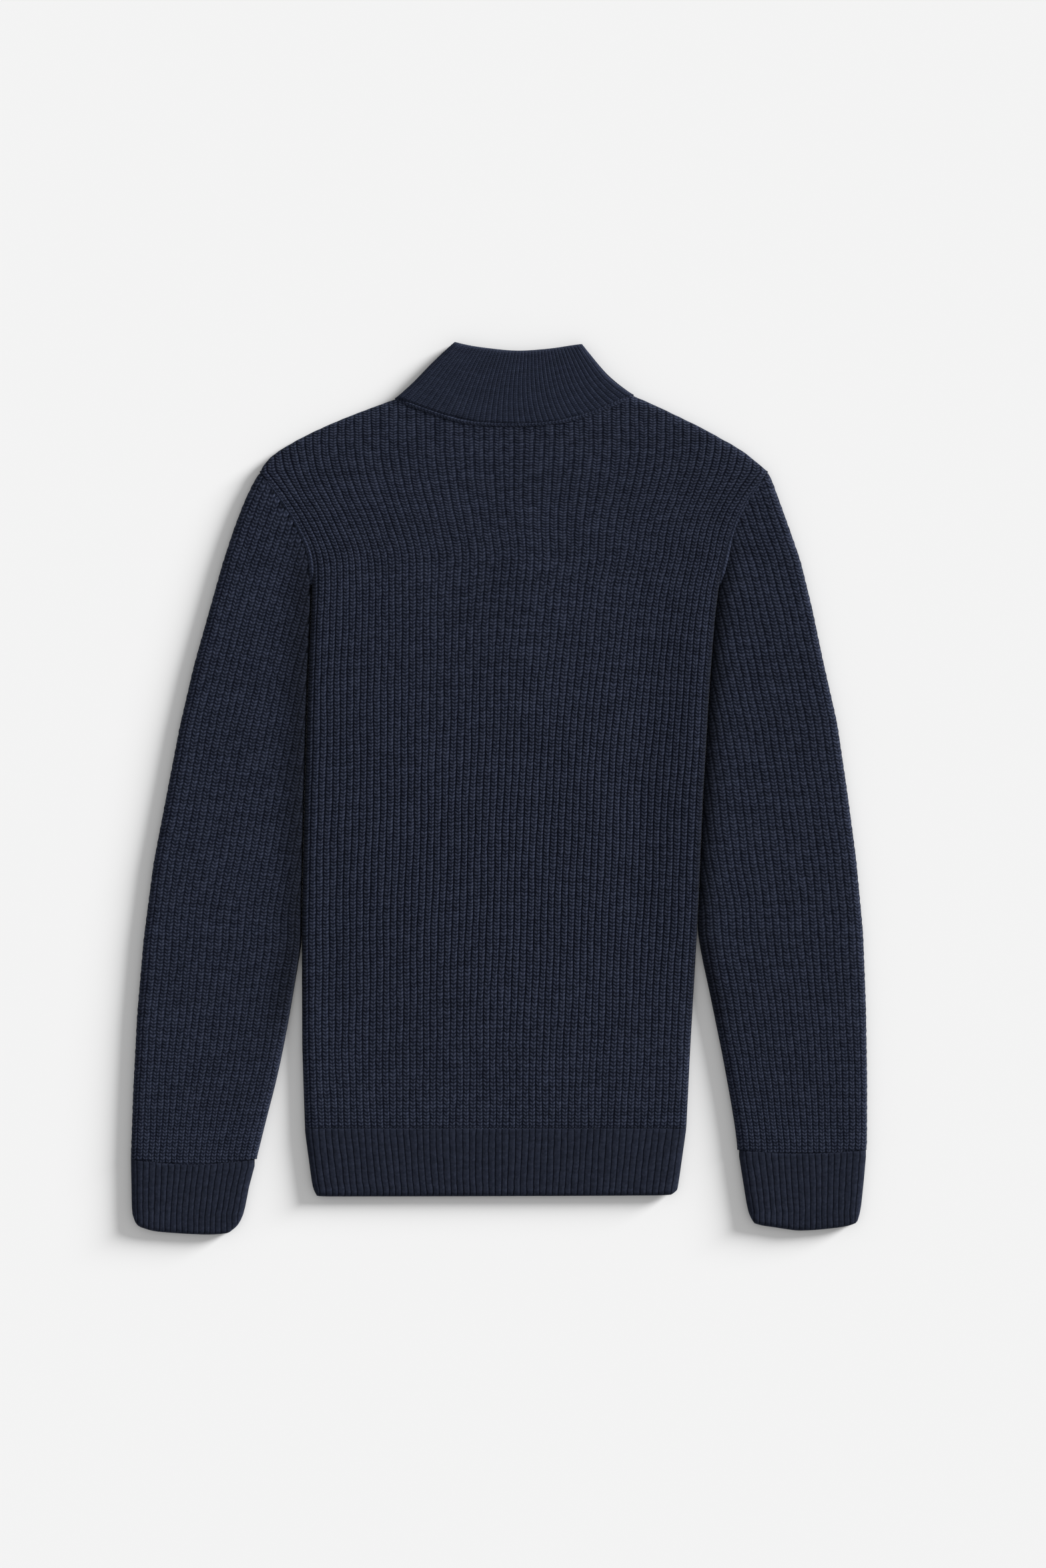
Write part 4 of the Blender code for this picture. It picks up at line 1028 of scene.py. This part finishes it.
def teeth_row(side, finish):
    """One tape's moulded teeth, closed with the other's up to the slider, and its stop."""
    length = (ZIP_END - ZIP_START).length
    closed = np.arange(TEETH_START, length - TEETH_END, TEETH_PITCH)
    closed = closed + (TEETH_PITCH / 2.0 if side > 0 else 0.0)
    blocks = [(TOOTH_SIZE, TOOTH_TAPER, TOOTH_CENTRE, along) for along in closed]
    blocks.append((STOP_SIZE, 1.0, STOP_CENTRE, length + STOP_PLACE))
    points = []
    faces = []
    for size, taper, out, along in blocks:
        for face in BLOCK_FACES:
            face = face[::-1] if side < 0 else face
            faces.append([len(points) + corner for corner in face])
        block = block_points(size, taper) * (side, 1.0, 1.0) + (side * out, along, TEETH_Z)
        points.extend(block.tolist())
    made = add_mesh("zip_teeth_" + SIDES[side], points, faces, finish)
    made.data.transform(Matrix.Translation((ZIP_START.x * MM, ZIP_START.y * MM, 0.0))
                        @ Matrix.Rotation(-LEAN, 4, "Z") @ Matrix.Scale(MM, 4))
    rounded = made.modifiers.new("rounded", "BEVEL")
    rounded.width = TOOTH_ROUND * MM
    rounded.segments = 1
    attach(made, BODY)


# ---- materials
class Wiring:
    """Short names for making and joining a material's nodes."""

    def __init__(self, name):
        self.material = bpy.data.materials.new(name)
        self.material.use_nodes = True
        self.tree = self.material.node_tree
        self.shader = self.tree.nodes["Principled BSDF"]
        self.where = self.make("ShaderNodeTexCoord").outputs["Object"]

    def make(self, kind, *values, **settings):
        """Makes a node with these settings, and feeds its inputs in their order."""
        made = self.tree.nodes.new(kind)
        for key, value in settings.items():
            setattr(made, key, value)
        for socket, value in zip(made.inputs, values):
            self.feed(socket, value)
        return made

    def feed(self, socket, value):
        if isinstance(value, bpy.types.NodeSocket):
            self.tree.links.new(value, socket)
        elif value is not None:
            socket.default_value = value

    def math(self, operation, *values):
        return self.make("ShaderNodeMath", *values, operation=operation).outputs[0]

    def times(self, one, other):
        return self.math("MULTIPLY", one, other)

    def minus(self, one, other):
        return self.math("SUBTRACT", one, other)

    def line(self, value, slope, start):
        """value times slope, and start added."""
        return self.math("MULTIPLY_ADD", value, slope, start)

    def step(self, value, low, high, start=0.0, end=1.0):
        return self.make("ShaderNodeMapRange", value, low, high, start, end,
                         interpolation_type="SMOOTHSTEP").outputs[0]

    def noise(self, scale, detail=2.0, roughness=0.5, where=None, output="Fac"):
        made = self.make("ShaderNodeTexNoise", where or self.where, None, scale, detail,
                         roughness)
        return made.outputs[output]

    def stretched(self, where, scale):
        return self.make("ShaderNodeMapping", where, None, None, scale).outputs[0]

    def parts(self, vector):
        return self.make("ShaderNodeSeparateXYZ", vector).outputs

    def ramp(self, value, stops):
        made = self.make("ShaderNodeValToRGB", value)
        band = made.color_ramp
        while len(band.elements) < len(stops):
            band.elements.new(0.5)
        for element, (place, colour) in zip(band.elements, stops):
            element.position = place
            element.color = (*colour, 1.0)
        return made.outputs["Color"]

    def scaled(self, colour, factor):
        return self.make("ShaderNodeVectorMath", colour, None, None, factor,
                         operation="SCALE").outputs[0]

    def bump(self, height, distance, normal=None):
        made = self.make("ShaderNodeBump", 1.0, distance * MM)
        self.feed(made.inputs["Height"], height)
        self.feed(made.inputs["Normal"], normal)
        return made.outputs["Normal"]

    def set(self, **values):
        for key, value in values.items():
            self.feed(self.shader.inputs[key.replace("_", " ")], value)


RIB_STRAY = 0.20  # that stitches lie out of line, in ribs
COURSE_STRAY = 0.6  # and in courses
STRAY_SCALE = 160.0
YARN_SCALE = 850.0
YARN_SHARE = 0.55
FIBRE_SCALE = 2600.0
FIBRE_SHARE = 0.6
FIBRE_BUMP = 0.12
BATCH_SCALE = (0.11, 0.75, 1.0)  # of streaks that follow the courses
BATCH_TONES = (0.90, 1.10)
FOLD_SHADE = 0.60  # of the wool's colour is taken away deep in a fold, as painted shade
MID_HEIGHT = 0.46  # of a stitch's height, where its tone is the look's level
OPEN_CALM = 0.4  # of its contrast is lost where the ribs lie stretched open
OPEN_GROOVE = 0.8  # of a groove's depth is lost there
OPEN_LEG = 0.5  # by which a left leg is higher there
UNEVENNESS = 0.30  # from one stitch to the next, as a share of the loops' height
DIP_EDGES = (0.02, 0.17)  # shares of a rib, from its centre
LEG_CHANGE = 0.08
LOOP_SHARE = 0.47  # of a stitch's height, which takes a row's crest and a leg's crest
ROW_SHARE = 0.25  # which takes a row's crest alone
LEG_SHARE = 0.28  # which takes a leg's crest alone
GROOVE_LEFT = 0.35  # of a stitch's height is left in a groove
# Painted shade for grooves and holes, the wool's own navy, and a painted highlight for the
# loops' crests.
GROOVE_SHADE_BLUE = (0.0024, 0.0036, 0.0095)
NAVY = (0.0128, 0.0167, 0.0310)
NAVY_TONE = 0.45
CREST_HIGHLIGHT_BLUE = (0.0370, 0.0440, 0.0730)
SHEEN_BLUE = (0.50, 0.60, 0.85, 1.0)

# contrast is the tones' spread, from painted shade in grooves and holes to a painted highlight
# on the loops; bump is in millimetres; lightness is a factor; courses are the rows of stitches
# in one course; groove is half its width, as a share of a rib; left_leg is its height beside
# the right one's, and a lower left leg is also painted darker, as shade on the side away from
# the light; rows and dip are the depths between the rows and between the legs; level is the
# tone at a stitch's middle height.
Look = namedtuple("Look", "contrast bump lightness courses groove left_leg rows dip level")
BODY_LOOK = Look(1.22, 0.50, 0.805, 1.0, 0.18, 0.94, 1.0, 0.45, 0.46)
BAND_LOOK = Look(0.70, 0.12, 0.60, 1.6, 0.14, 0.97, 0.05, 0.12, 0.28)
NECK_LOOK = Look(0.56, 0.18, 0.90, 1.7, 0.12, 0.90, 0.80, 0.40, 0.38)
SEAM_LOOK = Look(0.8, 0.30, 0.92, 1.0, 0.05, 0.90, 0.90, 0.60, 0.46)


def stitch_height(wires, rib, course, open_rib, look):
    """How far up its stitch a place is, from 0 in a hole to 1 on a loop's crest, and a
    chance value for each leg of a stitch.  The legs climb half a course from its foot."""
    across = wires.math("FRACT", rib)
    beyond = wires.minus(across, 0.5)
    from_middle = wires.math("ABSOLUTE", beyond)
    phase = wires.minus(course, from_middle)
    row = wires.line(wires.math("COSINE", wires.times(phase, 2.0 * pi)), 0.5 * look.rows,
                     1.0 - 0.5 * look.rows)
    edge = wires.math("MINIMUM", across, wires.minus(1.0, across))
    on_rib = wires.math("MAXIMUM", wires.step(edge, 0.0, look.groove),
                        wires.times(open_rib, OPEN_GROOVE))
    off_dip = wires.step(from_middle, *DIP_EDGES, 1.0 - look.dip, 1.0)
    # A left leg stands lower, and through the tone it is also painted darker: painted shade on
    # the side away from the light.
    leg = wires.step(beyond, -LEG_CHANGE, LEG_CHANGE, look.left_leg, 1.0)
    leg = wires.math("MINIMUM", wires.line(open_rib, OPEN_LEG, leg), 1.0)
    column = wires.times(wires.times(on_rib, off_dip), leg)
    on_row = wires.times(row, wires.line(column, LOOP_SHARE, ROW_SHARE))
    height = wires.line(column, LEG_SHARE, on_row)
    height = wires.times(height, wires.line(on_rib, 1.0 - GROOVE_LEFT, GROOVE_LEFT))
    cell = wires.make("ShaderNodeCombineXYZ", wires.math("FLOOR", rib),
                      wires.math("ROUND", phase), wires.math("GREATER_THAN", beyond, 0.0))
    chance = wires.make("ShaderNodeTexWhiteNoise", cell.outputs[0], noise_dimensions="3D")
    return height, chance.outputs["Value"]


def stitch_tone(wires, height, chance, open_rib, look):
    """A place's tone, from 0 in a hole to 1 on a light loop, uneven as its yarn is: painted
    shade in the holes and grooves and a painted highlight on the loops, over the yarn's own
    heather.
    """
    yarn = wires.noise(YARN_SCALE)
    uneven = wires.line(chance, UNEVENNESS, -0.5 * UNEVENNESS)
    heather = wires.line(wires.minus(yarn, 0.5), YARN_SHARE, uneven)
    calmed = wires.line(open_rib, -OPEN_CALM * look.contrast, look.contrast)
    tone = wires.line(wires.minus(height, MID_HEIGHT), calmed, look.level)
    return wires.math("ADD", tone, wires.times(heather, look.contrast))


def knit_material(name, look):
    """Heathered navy wool with fine loose fibres: painted shade darkens it between its ribs,
    in its stitches' holes and in the fold beside a sleeve, and a painted highlight makes it
    lighter and greyer on their loops."""
    wires = Wiring(name)
    stitch = wires.make("ShaderNodeAttribute", attribute_name="stitch").outputs["Vector"]
    rib, course, open_rib = wires.parts(stitch)
    stray = wires.parts(wires.noise(STRAY_SCALE, 1.0, output="Color"))
    rib = wires.line(wires.minus(stray[0], 0.5), RIB_STRAY, rib)
    course = wires.line(wires.minus(stray[1], 0.5), COURSE_STRAY,
                        wires.times(course, look.courses))
    height, chance = stitch_height(wires, rib, course, open_rib, look)
    tone = stitch_tone(wires, height, chance, open_rib, look)
    # The ramp paints shade into low places and a highlight onto high ones, over the wool's
    # navy.
    colour = wires.ramp(tone, ((0.0, GROOVE_SHADE_BLUE), (NAVY_TONE, NAVY), (1.0, CREST_HIGHLIGHT_BLUE)))
    batch = wires.noise(1.0, where=wires.stretched(stitch, BATCH_SCALE))
    fibre = wires.noise(FIBRE_SCALE, roughness=0.6)
    streaks = wires.math("ADD", wires.step(batch, 0.30, 0.70, *BATCH_TONES),
                         wires.line(fibre, FIBRE_SHARE, -0.5 * FIBRE_SHARE))
    # Painted shade: the wool's colour is darker in the fold between the body and a sleeve.
    painted_shade = wires.make("ShaderNodeAttribute", attribute_name="painted_shade").outputs["Fac"]
    lightness = wires.line(painted_shade, -FOLD_SHADE * look.lightness, look.lightness)
    colour = wires.scaled(colour, wires.times(streaks, lightness))
    normal = wires.bump(fibre, FIBRE_BUMP, wires.bump(height, look.bump))
    wires.set(Base_Color=colour, Roughness=0.95, Normal=normal, Sheen_Weight=0.05,
              Sheen_Roughness=0.5, Sheen_Tint=SHEEN_BLUE, Specular_IOR_Level=0.08)
    return wires.material


TAPE_BLUE = (0.0120, 0.0144, 0.0256)
WARP = 0.55  # from one of a tape's threads to the next
WEFT = 0.8


def tape_material():
    """Woven polyester tape: fine twill ribs along it, crossed by its weft, with painted shade
    between its threads.
    """
    wires = Wiring("tape_weave")
    x, y, _ = wires.parts(wires.where)
    warp = wires.math("SINE", wires.times(x, 2.0 * pi / (WARP * MM)))
    weft = wires.math("SINE", wires.times(wires.math("ADD", x, y), 2.0 * pi / (WEFT * MM)))
    weave = wires.line(wires.times(warp, weft), 0.5, 0.5)
    # Painted shade between the threads, in the groove shade colour, over the tape's own blue.
    colour = wires.ramp(weave, ((0.0, GROOVE_SHADE_BLUE), (1.0, TAPE_BLUE)))
    wires.set(Base_Color=colour, Roughness=0.75, Normal=wires.bump(weave, 0.08),
              Sheen_Weight=0.2)
    return wires.material


PLATED_GREY = (0.10, 0.10, 0.11)
WORN_GREY = (0.13, 0.13, 0.143)
PLATED_ROUGHNESS = 0.34
WEAR_SCALE = 300.0
BRUSH_SCALE = 9000.0
BRUSH_STRETCH = (1.0, 0.12, 1.0)


def metal_material():
    """Dark plated metal, with a fine brushed unevenness and slightly worn places."""
    wires = Wiring("plated_metal")
    brushed = wires.noise(BRUSH_SCALE, where=wires.stretched(wires.where, BRUSH_STRETCH))
    worn = wires.noise(WEAR_SCALE, 3.0)
    shade = wires.step(worn, 0.35, 0.75, 0.85, 1.30)
    tinted = wires.ramp(worn, ((0.3, PLATED_GREY), (0.8, WORN_GREY)))
    wires.set(Base_Color=wires.scaled(tinted, shade), Metallic=1.0,
              Roughness=wires.times(shade, PLATED_ROUGHNESS),
              Normal=wires.bump(brushed, 0.01))
    return wires.material


def dress(node, finish):
    """Gives one of the frame's own nodes its material."""
    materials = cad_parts[node].data.materials
    if not materials:
        materials.append(finish)
    for place in range(len(materials)):
        materials[place] = finish


# ---- floor, light, camera
VIEW_CENTRE = (0.0210, 0.0037)  # of the picture, in metres from the origin
VIEW_HEIGHT = 1.373  # metres of floor from the picture's bottom to its top
CAMERA_HEIGHT = 3.2
SENSOR = 36.0
FLOOR_HALF = 20.0  # metres
FLOOR_DROP = 0.05  # under the wool, in millimetres
FLOOR_GREYS = (0.86, 0.86344)
SUN_STRENGTH = 6.83
SUN_SPREAD = 18.0  # degrees across, for a soft shadow
SUN_ELEVATION = radians(14.5)
SUN_AZIMUTH = radians(30.0)  # from +x towards +y
SKY_STRENGTH = 0.50


def floor_piece():
    wires = Wiring("floor_paint")
    grain = wires.noise(3.0)
    shade = wires.ramp(grain, [(place, (grey,) * 3) for place, grey in enumerate(FLOOR_GREYS)])
    wires.set(Base_Color=shade, Roughness=0.9, Specular_IOR_Level=0.0)
    corners = [(x * FLOOR_HALF, y * FLOOR_HALF, -FLOOR_DROP * MM)
               for x, y in ((-1, -1), (1, -1), (1, 1), (-1, 1))]
    add_mesh("floor", corners, [(0, 1, 2, 3)], wires.material)


def light_scene():
    lamp = bpy.data.lights.new("soft_box", "SUN")
    lamp.energy = SUN_STRENGTH
    lamp.angle = radians(SUN_SPREAD)
    towards = Vector((cos(SUN_ELEVATION) * cos(SUN_AZIMUTH),
                      cos(SUN_ELEVATION) * sin(SUN_AZIMUTH), sin(SUN_ELEVATION)))
    made = add_object("soft_box", lamp)
    made.rotation_euler = towards.to_track_quat("Z", "Y").to_euler()
    world = bpy.data.worlds.new("studio")
    bpy.context.scene.world = world
    world.use_nodes = True
    sky = world.node_tree.nodes["Background"]
    sky.inputs["Color"].default_value = (1.0, 1.0, 1.0, 1.0)
    sky.inputs["Strength"].default_value = SKY_STRENGTH
    settings = bpy.context.scene.view_settings
    settings.view_transform = "Standard"
    settings.look = "None"


def camera_above():
    data = bpy.data.cameras.new("camera")
    data.sensor_width = SENSOR
    data.lens = SENSOR * CAMERA_HEIGHT / VIEW_HEIGHT
    data.clip_end = 100.0
    made = add_object("camera", data)
    made.location = (*VIEW_CENTRE, CAMERA_HEIGHT)
    bpy.context.scene.camera = made


# ---- the whole picture
def dress_sweater():
    body = knit_material("body_wool", BODY_LOOK)
    band = knit_material("band_wool", BAND_LOOK)
    neck = knit_material("neck_wool", NECK_LOOK)
    sew_seams(knit_material("seam_wool", SEAM_LOOK))
    back_piece(body)
    hem_back_piece(band)
    collar_piece(neck)
    for side in SIDES:
        front_piece(side, body)
        hem_front_piece(side, band)
        collar_front_piece(side, neck)
        sleeve_piece(side, body)
        cuff_piece(side, band)


def dress_zip():
    tape = tape_material()
    plated = metal_material()
    for side in SIDES:
        dress("zip_tape_" + SIDES[side], tape)
        teeth_row(side, plated)
    for node in ("zip_box", "zip_slider", "zip_pull_tab"):
        dress(node, plated)


camera_above()
light_scene()
floor_piece()
dress_sweater()
dress_zip()
